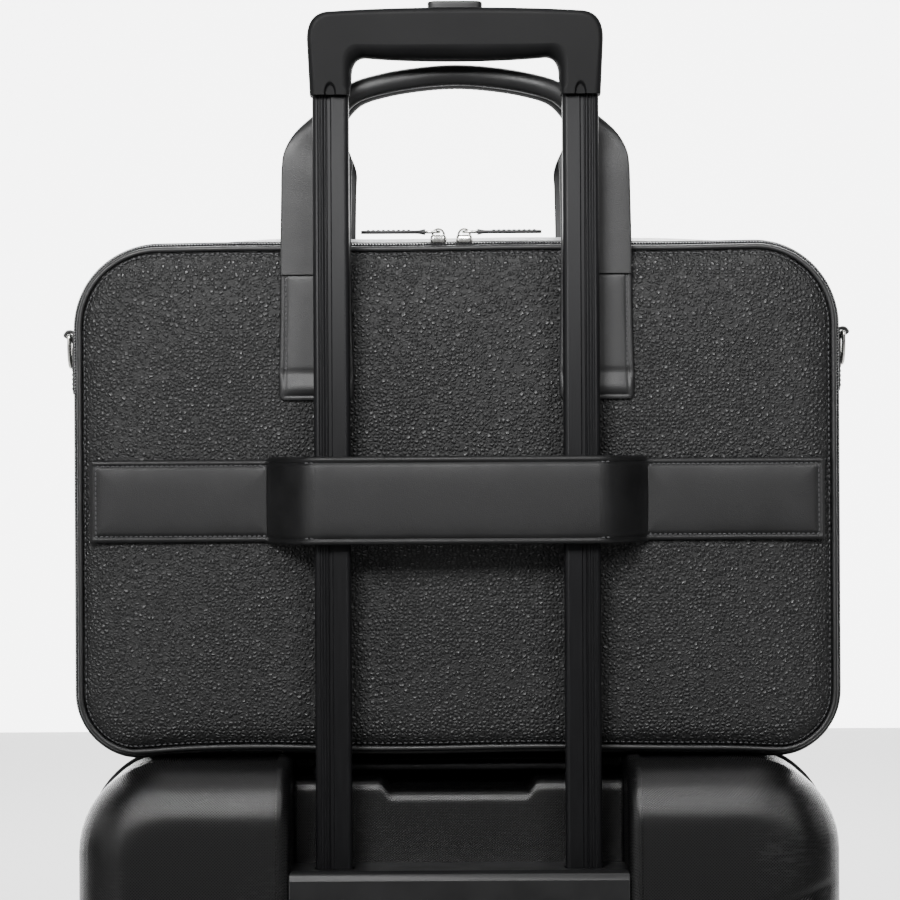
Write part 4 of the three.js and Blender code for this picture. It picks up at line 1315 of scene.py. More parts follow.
@dataclass
class BagHardware:
    """The bag's metal: D-rings in leather chapes, zip sliders with pulls, and their leather tabs."""

    rod: float = 1.15
    ring_steps: int = 72

    def rings(self) -> None:
        """Each D-ring is a round rod carried round a D whose straight side runs through its chape."""
        for name, way in SIDES:
            node = "d_ring_" + name
            low, high = extent(node)
            x, y = (low[0] + high[0]) / 2, (low[1] + high[1]) / 2
            half, top = (high[1] - low[1]) / 2 - self.rod, high[2] - 1.0
            drop = top - low[2] - self.rod
            turn = np.linspace(np.pi, 2 * np.pi, 30)
            arc = np.stack([half * np.cos(turn), -(drop - half) + half * np.sin(turn)], axis=1)
            shape = resample(np.vstack([[(0.0, 0.0), (-half, 0.0)], arc, [(half, 0.0)]]), self.ring_steps, closed=True)
            soft = (np.roll(shape, 1, 0) + 2 * shape + np.roll(shape, -1, 0)) / 4
            ahead = unit(np.roll(soft, -1, 0) - np.roll(soft, 1, 0))
            normal = np.stack([ahead[:, 1], -ahead[:, 0]], axis=1)
            cut = oval(self.rod, self.rod, count=12)
            yz = soft[:, None, :] + normal[:, None, :] * cut[None, :, :1]
            xs = np.broadcast_to(cut[None, :, 1], yz.shape[:2])
            rings = np.stack([x + xs, y + yz[..., 0], top + yz[..., 1]], axis=-1)
            capped("ring_of_nickel_" + name, rings, wrap=True).made(node, Slot.NICKEL, (NICKEL,), (node,))

    def chapes(self) -> None:
        """A leather strip sewn to the bag's end and rolled over the ring's straight side."""
        for name, way in SIDES:
            node = "ring_chape_" + name
            low, high = extent(node)
            y = (low[1] + high[1]) / 2
            half = (high[1] - low[1]) / 2
            face = low[0] if way > 0 else -high[0]
            axis_z = extent("d_ring_" + name)[1][2] - 1.0
            centre = face + 3.4
            turn = np.linspace(-0.75 * np.pi, np.pi, 22)
            loop = [(centre - 2.55 * math.cos(a), axis_z + 2.55 * math.sin(a)) for a in turn[::-1]]
            strip = [(face + 1.1, low[2] + t) for t in np.linspace(0, axis_z - low[2] - 3.4, 12)]
            line = spline([(a, b) for a, b in strip + loop[: 20]], 90)
            ahead = unit(np.gradient(line, axis=0))
            normal = np.stack([ahead[:, 1], -ahead[:, 0]], axis=1)
            taper = half - 1.4 * (1 - smoothstep(0, 6, np.arange(90) * 0.5))
            cut = oval(taper, np.full(90, 0.95), 7.0, 20)
            xz = line[:, None, :] + normal[:, None, :] * cut[..., 1:]
            rings = np.stack([way * xz[..., 0], y + cut[..., 0], xz[..., 1]], axis=-1)
            capped(node + "_leather", rings).made(Body.BAG, Slot.SMOOTH, (SMOOTH,), (node,))
            x = way * (face + 2.2)
            near, far, foot, head = y - half + 2.6, y + half - 2.6, low[2] + 3, axis_z - 7
            box = np.array([(x, near, foot), (x, far, foot), (x, far, head), (x, near, head), (x, near, foot)])
            path = np.vstack([resample(box[i : i + 2], 16) for i in range(4)])
            stitch_row(node + "_stitches", path, (way, 0, 0), Body.BAG, 2.4)

    def sliders(self) -> None:
        """Each zip slider has a waisted body and an arched bail; its pull is a ring with a leather tab."""
        for name, way in SIDES:
            node = "zip_slider_" + name
            low, high = extent(node)
            x, y = (low[0] + high[0]) / 2, (low[1] + high[1]) / 2
            body_top = extent("zip_pull_" + name)[0][2] - 0.6
            t = np.linspace(-1, 1, 24)
            half = (high[1] - low[1]) / 2 * (1 - 0.22 * (1 - np.clip((t * way + 1) / 2, 0, 1)))
            half = half * np.sqrt(np.clip(1.04 - t**6, 0.02, 1))
            tall = (body_top - low[2]) / 2 * np.sqrt(np.clip(1.04 - t**8, 0.02, 1))
            cut = oval(half, tall, 3.4, 24)
            along = x + t * (high[0] - low[0]) / 2
            rings = np.stack([np.broadcast_to(along[:, None], cut.shape[:2]), y + cut[..., 0],
                              (low[2] + body_top) / 2 + cut[..., 1]], axis=-1)
            capped(node + "_body", rings).made(node, Slot.NICKEL, (NICKEL,), (node,))
            turn = np.linspace(0, np.pi, 28)
            arch = np.stack([x - 3.2 * np.cos(turn), np.full(28, y), body_top - 0.6 + 3.7 * np.sin(turn)], axis=1)
            capped(node + "_bail", carry(arch, oval(0.75, 0.6, count=10), (0, 1, 0))).made(node, Slot.NICKEL, (NICKEL,))
            self._pull(name, way)

    def _pull(self, name: str, way: int) -> None:
        """The pull: a flat ring through the bail, and a sewn leather tab with a rounded end."""
        node = "zip_pull_" + name
        low, high = extent(node)
        y, z = (low[1] + high[1]) / 2, (low[2] + high[2]) / 2
        root = low[0] if way > 0 else high[0]
        turn = np.linspace(0, 2 * np.pi, 48, endpoint=False)
        long = 4.3
        ring = np.stack([root + way * (0.4 + long + long * np.cos(turn)), y + 2.2 * np.sin(turn), np.full(48, z)], 1)
        ahead = unit(np.roll(ring, -1, 0) - np.roll(ring, 1, 0))
        side = np.cross(ahead, [0, 0, 1])
        cut = oval(0.62, 0.75, 2.6, 12)
        rings = ring[:, None, :] + cut[None, :, :1] * side[:, None, :] + cut[None, :, 1:] * np.array([0, 0, 1.0])
        capped(node + "_ring", rings, wrap=True).made(node, Slot.NICKEL, (NICKEL,), (node,))
        tab = "pull_tab_" + name
        low, high = extent(tab)
        t = np.linspace(0, 1, 46)
        length = high[0] - low[0] + 5.2
        start = (low[0] - 5.2) if way > 0 else (high[0] + 5.2)
        width = (high[1] - low[1]) / 2 * (0.62 + 0.38 * smoothstep(0.0, 0.25, t))
        width = width * np.sqrt(np.clip(1.02 - np.clip((t - 0.9) / 0.1, 0, 1) ** 2 * 0.98, 0.05, 1))
        tall = 0.9 + 0.75 * np.exp(-((t / 0.07) ** 2))
        cut = oval(width, tall, 3.6, 20)
        line = start + way * t * length
        rings = np.stack([np.broadcast_to(line[:, None], cut.shape[:2]), y + cut[..., 0], z + cut[..., 1]], axis=-1)
        capped(tab + "_leather", rings).made(node, Slot.SMOOTH, (SMOOTH,), (tab,))
        for side_name, off in (("a", -1), ("b", 1)):
            edge = off * ((high[1] - low[1]) / 2 - 1.2)
            line = np.array([(start + way * 9, y + edge, z + 0.95), (start + way * (length - 4), y + edge, z + 0.95)])
            stitch_row(f"{tab}_stitches_{side_name}", line, (0, 0, 1), node, 2.2)

    def build(self) -> None:
        """Makes all of the bag's hardware."""
        self.rings()
        self.chapes()
        self.sliders()


# ---------------------------------------------------------------- the hard case


def offset_sheet(grid: Array, distance: float) -> Array:
    """A grid of points moved along its own normals, which are the cross products of its two directions."""
    rows, columns = np.gradient(grid, axis=0), np.gradient(grid, axis=1)
    return grid + distance * unit(np.cross(rows, columns))


@dataclass
class HardCase:
    """The wheeled case: two ribbed shells, the recess at the back, the closing zip, the lining and the handles."""

    corner: float = 48.0
    edge: float = 30.0
    wall: float = 3.0
    step: float = 2.35
    seam: float = 4.0
    hole_half: float = 97.0
    hole_foot: float = 434.0
    lip_y: float = -104.0
    lip_radius: float = 6.0
    lip: float = 6.0
    groove_pitch: float = 46.0
    groove_depth: float = 1.7
    groove_half: float = 2.3
    outline: Outline = field(init=False)
    depth: float = field(init=False)

    def __post_init__(self) -> None:
        """Takes the case's size from its shells."""
        low, high = extent("front_shell")
        self.outline = Outline(high[0], low[2], high[2], self.corner, self.corner)
        self.depth = high[1]

    def groove(self, x: Array, z: Array) -> Array:
        """How deep the pressed grooves are: depth * exp(-(gap / half)^2), where gap is the distance to the nearest.

        The grooves fall from the right to the left in shallow parallel arcs a fixed distance apart.
        """
        across = (self.outline.half_width - x) / (2 * self.outline.half_width)
        fall = 104 * across + 46 * across * (1 - across)
        height = z - (501 - fall)
        gap = np.abs((height + self.groove_pitch / 2) % self.groove_pitch - self.groove_pitch / 2)
        low = smoothstep(self.outline.bottom + 44, self.outline.bottom + 66, z)
        return self.groove_depth * np.exp(-((gap / self.groove_half) ** 2)) * low * (height < self.groove_pitch / 2)

    def _grid(self, inset: float, hole: bool) -> tuple[Array, Array, tuple[int, int]]:
        """The places of a shell's face in x and z, numbered row by row.

        Columns within the recess stay upright; those beside it spread to the outline.
        """
        o, draw = self.outline, self.outline.inset(inset)
        extra = (self.hole_foot,) if hole else ()
        z0 = edge_spaced(o.bottom, o.top, (self.corner, self.corner), self.step, extra)
        x0 = edge_spaced(-o.half_width, o.half_width, (self.corner, self.corner), self.step,
                         (-self.hole_half, self.hole_half))
        z = draw.bottom + (z0 - o.bottom) * (draw.top - draw.bottom) / (o.top - o.bottom)
        zz, xs = np.meshgrid(z, x0, indexing="ij")
        share = np.maximum(np.abs(xs) - self.hole_half, 0) / (o.half_width - self.hole_half)
        xx = np.sign(xs) * (np.minimum(np.abs(xs), self.hole_half) + share * (draw.reach(zz) - self.hole_half))
        return xx, zz, zz.shape

    def sheet(self, inset: float, out: int, limit: Optional[Callable] = None,
              hole: bool = False) -> tuple[Array, Array]:
        """One side of a shell: its face, its rolled edge and its straight wall up to the seam.

        The face stands at 80 + sqrt(r^2 - (r - d)^2), where d is the distance inside the outline and r the roll.

        Args:
            inset: how far inside the case's outer form.
            out: -1 for the back half, 1 for the front.
            limit: the greatest depth at each x and z, or None.
            hole: whether the recess is left out.
        Returns:
            The points, and the quads.
        """
        xx, zz, shape = self._grid(inset, hole)
        draw, r = self.outline.inset(inset), self.edge - inset
        d = np.clip(draw.inside(xx, zz), 0, r)
        y = self.depth - self.edge + np.sqrt(np.maximum(r * r - (r - d) ** 2, 0))
        if limit is None:
            y = y - self.groove(xx, zz) * smoothstep(0, 10, d)
        else:
            y = np.minimum(y, limit(xx, zz))
        face = np.stack([xx, out * y, zz], axis=-1).reshape(-1, 3)
        rows, columns = shape
        n = np.arange(rows * columns).reshape(shape)
        rim = np.concatenate([n[0, :-1], n[:-1, -1], n[-1, :0:-1], n[:0:-1, 0]])
        rings = []
        for y_ring in (62.0, 40.0, 17.0, self.seam):
            ring = face[rim].copy()
            ring[:, 1] = out * np.minimum(y_ring, np.abs(ring[:, 1]))
            rings.append(ring)
        points = np.vstack([face, *rings])
        numbers = [rim] + [rows * columns + k * len(rim) + np.arange(len(rim)) for k in range(len(rings))]
        walls = [np.stack([a, b, np.roll(b, -1), np.roll(a, -1)], axis=1) for a, b in zip(numbers, numbers[1:])]
        return points, np.vstack([grid_faces(rows, columns), *walls])

    def shells(self) -> None:
        """Both shells, each a solid wall, with the recess cut out of the back one."""
        for name, out, body in (("back", -1, Body.CASE_BACK), ("front", 1, Body.CASE_FRONT)):
            outer, faces = self.sheet(0.0, out, hole=out < 0)
            inner, _ = self.sheet(self.wall, out, hole=out < 0)
            if out < 0:
                middle = outer[faces].mean(axis=1)
                gone = (np.abs(middle[:, 0]) < self.hole_half) & (middle[:, 2] > self.hole_foot)
                gone &= middle[:, 1] < -17.0
                faces = faces[~gone]
            points, every, _ = two_sided(outer, inner, faces)
            node = name + "_shell"
            Piece(node + "_pressed", points, every, flat_above=55).made(body, Slot.SHELL, (SHELL,), (node,))

    def tray(self) -> None:
        """The recess for the folded grip, and the channel on top that the carry handle lies in.

        Each row is a place along the profile of its floor, joined to the case's outer form by straight walls
        with a round fillet at the floor and a rolled lip at the outer form.
        """
        turn = np.linspace(0, np.pi / 2, 7)
        edge = [(-57 - 5 * math.cos(a), 547 + 5 * math.sin(a)) for a in turn]
        cove = [(-29 + 6 * math.sin(a), 558 - 6 * math.cos(a)) for a in turn]
        floor = np.array([(-62, self.hole_foot), (-62, 470), (-62, 510), (-62, 535), *edge, (-45, 552), *cove,
                          (-22.6, 561), (-20.5, 564), (-17.0, self.outline.top)], float)
        roll = [(-80 - 30 * math.cos(a), self.outline.top - 30 + 30 * math.sin(a)) for a in turn]
        outer = np.array([(-110, self.hole_foot), *roll, (-17.0, self.outline.top)], float)
        run_f = np.concatenate([[0], np.cumsum(np.linalg.norm(np.diff(floor, axis=0), axis=1))])
        run_o = np.concatenate([[0], np.cumsum(np.linalg.norm(np.diff(outer, axis=0), axis=1))])
        s = np.unique(np.concatenate([np.linspace(0, run_f[-1], 90), run_f]))
        f = np.stack([np.interp(s, run_f, floor[:, k]) for k in (0, 1)], axis=1)
        keys_f = [0, run_f[3], run_f[3] + 16, run_f[3] + 34, run_f[-1] - 12, run_f[-1]]
        keys_o = [0, 96, 101 + 24, 101 + 47, run_o[-1] - 9, run_o[-1]]
        where = np.interp(s, keys_f, keys_o)
        o = np.stack([np.interp(where, run_o, outer[:, k]) for k in (0, 1)], axis=1)
        length = np.linalg.norm(f - o, axis=1)[:, None]
        a = np.linspace(0, np.pi / 2, 8)
        wall = np.linspace(0.12, 0.9, 8)
        big = 1000.0
        half_x = np.concatenate([self.hole_half - self.lip * np.sin(a), np.full(8, self.hole_half - self.lip),
                                 self.hole_half - self.lip - 4 * (1 - np.cos(a)), np.linspace(86, 1, 44)])
        drop = np.concatenate([self.lip * (1 - np.cos(a)), np.full(8, -1.0), np.full(8, -2.0), np.full(44, big)])
        gap = np.broadcast_to(drop, (len(s), len(drop))).copy()
        gap[:, 8:16] = self.lip + wall * np.maximum(length - 4 - self.lip, 0)
        gap[:, 16:24] = length - 4 + 4 * np.sin(a)
        gap = np.clip(gap, 0, length)
        share = gap / np.maximum(length, 1e-6)
        yz = o[:, None, :] + (f - o)[:, None, :] * share[..., None]
        x = np.broadcast_to(half_x, gap.shape)
        near_top = smoothstep(536, 547, f[:, 1]) * (1 - smoothstep(-34, -27, f[:, 0]))
        notch = 6.0 * (1 - smoothstep(37, 43, x)) * near_top[:, None]
        right = np.stack([x, yz[..., 0], yz[..., 1] - notch], axis=-1)
        left = right[:, ::-1] * [-1, 1, 1]
        grid = np.concatenate([right, left], axis=1)[:, ::-1]
        back = offset_sheet(grid, -1.6)
        points, faces, _ = two_sided(grid.reshape(-1, 3), back.reshape(-1, 3), grid_faces(*grid.shape[:2]))
        Piece("grip_recess_tray", points, faces, flat_above=60).made(Body.CASE_BACK, Slot.SHELL, (SHELL,))
        t = np.linspace(np.pi / 2, np.pi, 8)
        curl = [(self.lip_y + self.lip_radius * math.cos(v), self.hole_foot + self.lip_radius * math.sin(v)) for v in t]
        section = np.array([(self.lip_y, self.hole_foot)] + curl)
        xs = np.linspace(-self.hole_half, self.hole_half, 3)
        rings = np.stack([np.repeat(xs[:, None], len(section), 1), np.tile(section[:, 0], (3, 1)),
                          np.tile(section[:, 1], (3, 1))], axis=-1)
        capped("recess_foot_lip", rings).made(Body.CASE_BACK, Slot.SHELL, (SHELL,))

    def lining(self) -> None:
        """The cloth lining of each half; at the back it rises over the tubes and round the recess."""

        def hump(x: Array, z: Array) -> Array:
            """The deepest that the lining may lie: 71 over the tubes and 52 behind the recess, else 200."""
            over = smoothstep(88, 100, np.abs(x))
            tubes = 71 * (1 - over) + 200 * over
            high = smoothstep(420, 434, z)
            beside = smoothstep(99, 112, np.abs(x))
            recess = 52 * (1 - beside) + 200 * beside
            return np.minimum(tubes, recess * high + 200 * (1 - high))

        for name, out, body, limit in (("back", -1, Body.CASE_BACK, hump),
                                       ("front", 1, Body.CASE_FRONT, lambda x, z: np.full_like(x, 200.0))):
            sheets = []
            for inset in (self.wall + 0.7, self.wall + 1.9):
                points, faces = self.sheet(inset, out, limit)
                if out < 0:
                    over = np.abs(points[:, 0]) < 100
                    points[over, 2] = np.minimum(points[over, 2], 538.0)
                sheets.append(points)
            sheets[1][:, 1] -= out * np.where(np.abs(sheets[1][:, 1]) > self.seam + 1.0, 0.8, 0.0)
            points, every, _ = two_sided(sheets[1], sheets[0], faces[:, ::-1])
            Piece(name + "_case_lining", points, every, flat_above=60).made(body, Slot.PADDING, (LINING,))

    def channel_lining(self) -> None:
        """The lining under the carry handle's channel: a shallow trough with upright ends, open upwards."""
        profile = spline([(-54.5, 538.5), (-49, 541.5), (-28, 541.5), (-18, 547), (-14.6, 560.5)], 26)
        xs = np.array([-101.5, -101.0, *np.linspace(-100.2, 100.2, 30), 101.0, 101.5])
        z = np.where(np.abs(xs)[:, None] > 100.6, self.outline.top - 4.2, profile[None, :, 1])
        xx, yy = np.broadcast_to(xs[:, None], z.shape), np.broadcast_to(profile[None, :, 0], z.shape)
        grid = np.stack([xx, yy, z], axis=-1)
        back = grid + [0.0, 0.0, 0.9]
        points, faces, _ = two_sided(back.reshape(-1, 3), grid.reshape(-1, 3), grid_faces(*grid.shape[:2])[:, ::-1])
        Piece("channel_lining_cloth", points, faces, flat_above=60).made(Body.CASE_BACK, Slot.PADDING, (LINING,))

    def closing_zip(self) -> None:
        """Each half's raised zip edge, with its own row of coil."""
        for name, out, body in (("back", -1, Body.CASE_BACK), ("front", 1, Body.CASE_FRONT)):
            half = [(-2.6, 0.35), (0.2, 0.35), (0.6, 1.7), (1.5, 2.3), (1.9, 3.1), (1.5, 3.9), (0.3, 4.3), (-2.6, 4.3)]
            section = [(n, out * y) for n, y in half]
            rings = band(self.outline.loop(520), section)
            rows, columns = rings.shape[:2]
            Piece(f"case_zip_{name}_edge", rings.reshape(-1, 3), grid_faces(rows, columns, True, True),
                  flat_above=75).made(body, Slot.ZIP, (TAPE,), ("case_zip_" + name,))
            pitch = 2.4
            loop = self.outline.loop(int(1760 / pitch))
            row = band(loop, [(0.55, out * 0.62)])[:, 0]
            ahead = unit(np.roll(row, -1, 0) - np.roll(row, 1, 0))
            across = np.tile([[0.0, 1.0, 0.0]], (len(row), 1))
            slant = unit(across + 0.25 * out * ahead)
            axes = np.stack([slant, np.cross(slant, np.cross(ahead, across)), np.cross(ahead, across)], axis=1)
            row = row + (0.5 * pitch if out > 0 else 0.0) * ahead
            stamped(f"case_zip_{name}_coil", capsule(1.9, 0.85, 0.9), row, axes).made(body, Slot.ZIP, (COIL,))

    def carried_over(self) -> None:
        """The hard pieces whose CAD shape is right."""
        carried("handle_bezel", SATIN, 2.4)
        carried("tube_foot", TRIM, 0.8)
        for name, _ in SIDES:
            carried("outer_tube_" + name, MILL, 0.3)
        for name in ("case_slider_upper", "case_slider_lower"):
            carried(name, NICKEL, 0.7)

    def handles(self) -> None:
        """The two moulded carry handles: a bridge with a swollen middle and two broad feet."""
        for node in ("case_top_handle", "case_side_handle"):
            low, high = extent(node)
            along = 0 if node == "case_top_handle" else 2
            middle = (low + high) / 2
            t = np.linspace(-1, 1, 90)
            length = (high[along] - low[along]) / 2
            end = np.sqrt(np.clip(1.0 - np.clip((np.abs(t) - 0.95) / 0.05, 0, 1) ** 2 * 0.96, 0.02, 1))
            foot = smoothstep(0.70, 0.80, np.abs(t))
            base = 4.0 * (1 - foot)
            top = 9.0 - 1.0 * smoothstep(0.8, 1.0, np.abs(t))
            ridges = 0.25 * np.cos(t * length * 2 * np.pi / 7.0) * (1 - smoothstep(0.5, 0.55, np.abs(t)))
            tall, lift = (top - base) / 2, (top + base) / 2
            cut = oval((12.0 - 1.5 * (1 - foot) + ridges) * end, tall * np.maximum(end, 0.5), 4.0, 28)
            floor = low[2] if along == 0 else high[0]
            if along == 0:
                rings = np.stack([np.broadcast_to((middle[0] + t * length)[:, None], cut.shape[:2]),
                                  middle[1] + cut[..., 0], floor + lift[:, None] + cut[..., 1]], axis=-1)
            else:
                rings = np.stack([floor - lift[:, None] - cut[..., 1], middle[1] + cut[..., 0],
                                  np.broadcast_to((middle[2] + t * length)[:, None], cut.shape[:2])], axis=-1)
            capped(node + "_grip", rings).made(Body.CASE_BACK, Slot.TRIM, (TRIM,), (node,))

    def build(self) -> None:
        """Makes the whole case."""
        self.shells()
        self.tray()
        self.lining()
        self.channel_lining()
        self.closing_zip()
        self.carried_over()
        self.handles()


@dataclass
class Casters:
    """The four double-tread wheels on their swivelling forks."""

    def wheel(self, end: str, side: str) -> None:
        """A tyre with a round shoulder and grooves, on a dished hub."""
        node = f"wheel_{end}_{side}"
        low, high = extent(node)
        centre = (low + high) / 2
        r, w = (high[2] - low[2]) / 2, (high[0] - low[0]) / 2
        tyre = [(13.2, -w + 0.6), (r - 2.2, -w), (r - 0.7, -w + 0.7), (r, -w + 2.2), (r, -2.4), (r - 0.6, -1.6),
                (r - 2.4, -1.2), (r - 2.4, 1.2), (r - 0.6, 1.6), (r, 2.4), (r, w - 2.2), (r - 0.7, w - 0.7),
                (r - 2.2, w), (13.2, w - 0.6)]
        turned(node + "_tyre", tyre, centre, 64).made(node, Slot.TYRE, (RUBBER,), (node,))
        hub = [(2.8, -w + 0.4), (5.2, -w + 0.4), (5.8, -w + 1.6), (11.4, -w + 2.4), (12.4, -w + 0.9), (13.1, -w + 0.9),
               (13.1, w - 0.9), (12.4, w - 0.9), (11.4, w - 2.4), (5.8, w - 1.6), (5.2, w - 0.4), (2.8, w - 0.4)]
        turned(node + "_hub", hub, centre, 48).made(node, Slot.TRIM, (SATIN,))

    def rivets(self, end: str, side: str) -> None:
        """The axle's two domed heads on the fork's cheeks."""
        low, high = extent(f"wheel_{end}_{side}")
        fork = f"fork_{end}_{side}"
        centre = (low + high) / 2
        reach = (high[0] - low[0]) / 2 + 3.4
        for name, way in SIDES:
            dome = [(0.01, way * (reach + 1.3)), (1.6, way * (reach + 1.1)), (2.9, way * (reach + 0.5)),
                    (3.3, way * (reach - 0.2)), (3.3, way * (reach - 0.8)), (0.01, way * (reach - 0.8))]
            turned(f"axle_head_{end}_{side}_{name}", dome, centre, 28).made(fork, Slot.NICKEL, (NICKEL,))

    def build(self) -> None:
        """Makes every wheel, and carries over every fork and housing."""
        for end in ("back", "front"):
            for side, _ in SIDES:
                self.wheel(end, side)
                self.rivets(end, side)
                carried(f"caster_fork_{end}_{side}", TRIM, 0.7)
                carried(f"caster_housing_{end}_{side}", TRIM, 0.9)


@dataclass
class Telescope:
    """The telescopic handle: two ribbed tubes, the grip's two covers and the release button."""

    ribs: int = 4
    rib_pitch: float = 1.55

    def section(self, way: int) -> Array:
        """A tube's section: a broad flat on its inner side, a deep channel, then thin ribs on its outer side.

        Its depth is d(x) = 7 - channel - ribs * |sin|, over rounded corners, the same on both faces.

        Args:
            way: -1 for the left tube and 1 for the right one.
        Returns:
            Points of x and y round the section.
        """
        half_x, half_y, r = 9.7, 7.0, 2.6
        x = np.linspace(-half_x + r, half_x - r, 72)
        channel = 0.9 * smoothstep(-0.4, 0.0, x) * (1 - smoothstep(1.7, 2.1, x))
        ribs = 0.5 * np.abs(np.sin(np.pi * (x - 2.3) / self.rib_pitch)) * smoothstep(2.2, 2.5, x)
        face = half_y - channel - ribs
        turn = np.linspace(0, np.pi / 2, 6)[1:-1]
        right = [(half_x - r + r * math.cos(-a), -(half_y - r) + r * math.sin(-a)) for a in turn[::-1]]
        top = [(half_x - r + r * math.cos(a), half_y - r + r * math.sin(a)) for a in turn]
        left = [(-half_x + r - r * math.cos(a), half_y - r + r * math.sin(a)) for a in turn[::-1]]
        foot = [(-half_x + r - r * math.cos(a), -(half_y - r) - r * math.sin(a)) for a in turn]
        sides_r = [(half_x, -(half_y - r)), (half_x, half_y - r)]
        sides_l = [(-half_x, half_y - r), (-half_x, -(half_y - r))]
        loop = np.array([*zip(x, -face), *right, *sides_r, *top, *zip(x[::-1], face[::-1]), *left, *sides_l, *foot])
        return loop * [way, 1]

    def tubes(self) -> None:
        """Each sliding tube, drawn in a little at both ends and capped."""
        for name, way in SIDES:
            node = "sliding_tube_" + name
            low, high = extent(node)
            middle = (low + high) / 2
            cut = self.section(way)
            z = np.array([low[2], low[2] + 0.4, high[2] - 0.4, high[2]])
            scale = np.array([0.97, 1, 1, 0.97])[:, None, None]
            xy = middle[:2] + cut[None] * scale
            rings = np.concatenate([xy, np.broadcast_to(z[:, None, None], (*xy.shape[:2], 1))], axis=-1)
            tube = capped(node + "_extrusion", rings)
            tube.flat_above = 28
            tube.made(Body.TROLLEY, Slot.ANODISED, (ANODISED,), (node,))

    def ladder(self) -> tuple[Array, Array, Array]:
        """Matched points of the grip's outer and inner outlines, from the left foot over to the right one.

        Returns:
            The outer points and the inner points in x and z, and the inner rim's radius at each.
        """
        low, high = extent("grip_back_cover")
        half, foot, crown = high[0], low[2], high[2]
        top, leg_in, under = crown - 1.75, 56.4, crown - 26.2
        rows = np.concatenate([np.linspace(0, 0.36, 22), np.linspace(0.36, 1, 10)[1:]])[:, None]
        t = np.linspace(0, 1, 16)[1:, None]
        u = np.linspace(0, 1, 40)[1:, None]

        def curve(a: tuple, b: tuple, c: tuple, at: Array) -> Array:
            """A parabola from a to c that heads for b."""
            return (1 - at) ** 2 * np.array(a) + 2 * at * (1 - at) * np.array(b) + at**2 * np.array(c)

        outer = np.vstack([(half - 1.4, foot) + rows * (1.4, top - 15 - foot),
                           curve((half, top - 15), (half, top), (half - 13, top), t),
                           curve((half - 13, top), (half / 2, crown), (0, crown), u)])
        inner = np.vstack([(leg_in, foot) + rows * (-1.0, under - 10.5 - foot),
                           curve((leg_in - 1.0, under - 10.5), (leg_in - 1.0, under), (leg_in - 8.5, under), t),
                           curve((leg_in - 8.5, under), (leg_in / 2, under - 1.9), (0, under - 1.9), u)])
        radius = 2.6 + 5.4 * smoothstep(6, 46, np.arange(len(outer), dtype=float))
        flip = np.array([-1, 1])
        return (np.vstack([outer * flip, outer[-2::-1]]), np.vstack([inner * flip, inner[-2::-1]]),
                np.concatenate([radius, radius[-2::-1]]))

    def grip(self) -> None:
        """The grip's two covers, which meet in a fine parting line, with a thumb-shaped dent at each leg's foot.

        Each rung of the ladder carries a rounded half section; the dent's depth falls to none at an ellipse's rim.
        """
        outer, inner, radius = self.ladder()
        low, high = extent("grip_back_cover")
        parting = (high[1] + extent("grip_front_cover")[0][1]) / 2
        deep = parting - low[1]
        turn = np.linspace(0, np.pi / 2, 8)
        for name, way in (("grip_back_cover", -1), ("grip_front_cover", 1)):
            rungs = []
            for a, b, r in zip(outer, inner, radius):
                length = float(np.linalg.norm(b - a))
                r0 = 3.4
                s = np.concatenate([[0], r0 * (1 - np.cos(turn)), np.linspace(r0, length - r, 44)[1:-1],
                                    length - r + r * np.sin(turn), [length]])
                y = np.concatenate([[0.12], deep - r0 * (1 - np.sin(turn)), np.full(42, deep),
                                    deep - r * (1 - np.cos(turn)), [0.12]])
                place = a + (b - a) * (s / length)[:, None]
                reach = np.hypot((np.abs(place[:, 0]) - 66.7) / 3.3, (place[:, 1] - low[2]) / 7.0)
                y = y - 1.5 * smoothstep(0.0, 0.3, 1 - reach) * (y > deep - 0.5)
                rungs.append(np.stack([place[:, 0], parting + way * y, place[:, 1]], axis=1))
            piece = capped(name + "_moulded", np.array(rungs))
            weigh_normals(piece.made(Body.TROLLEY, Slot.TRIM, (TRIM,), (name,)))

    def button(self) -> None:
        """The release button: a low cap with a rounded top rim, and the two push rods."""
        low, high = extent("release_button")
        crown = extent("grip_back_cover")[1][2]
        middle_y = (low[1] + high[1]) / 2
        half_x, half_y = 14.6, (high[1] - low[1]) / 2
        t = np.linspace(0, 1, 9)
        rise, dome = crown - 3 + (high[2] - crown + 3 - 1.2) * t, high[2] - 1.2 + 1.2 * np.sin(t[1:] * np.pi / 2)
        z = np.concatenate([[low[2] + 2], rise, dome])
        draw = np.concatenate([np.zeros(10), 1.6 * (1 - np.cos(t[1:] * np.pi / 2))])
        cut = oval(half_x - draw, half_y - draw, 5.0, 56)
        rings = np.stack([cut[..., 0], middle_y + cut[..., 1], np.broadcast_to(z[:, None], cut.shape[:2])], axis=-1)
        cap = capped("release_button_cap", rings)
        cap.made(Body.BUTTON, Slot.TRIM, (SATIN,), ("release_button",))
        for name, _ in SIDES:
            carried("push_rod_" + name, NICKEL, 0.2)

    def build(self) -> None:
        """Makes the whole telescopic handle."""
        self.tubes()
        self.grip()
        self.button()


def weigh_normals(obj: bpy.types.Object) -> None:
    """Shades each corner mostly by its largest face, so that flat faces look flat."""
    weigh = obj.modifiers.new("even_shading", "WEIGHTED_NORMAL")
    weigh.mode = "FACE_AREA"
    weigh.keep_sharp = True


# ---------------------------------------------------------------- the studio


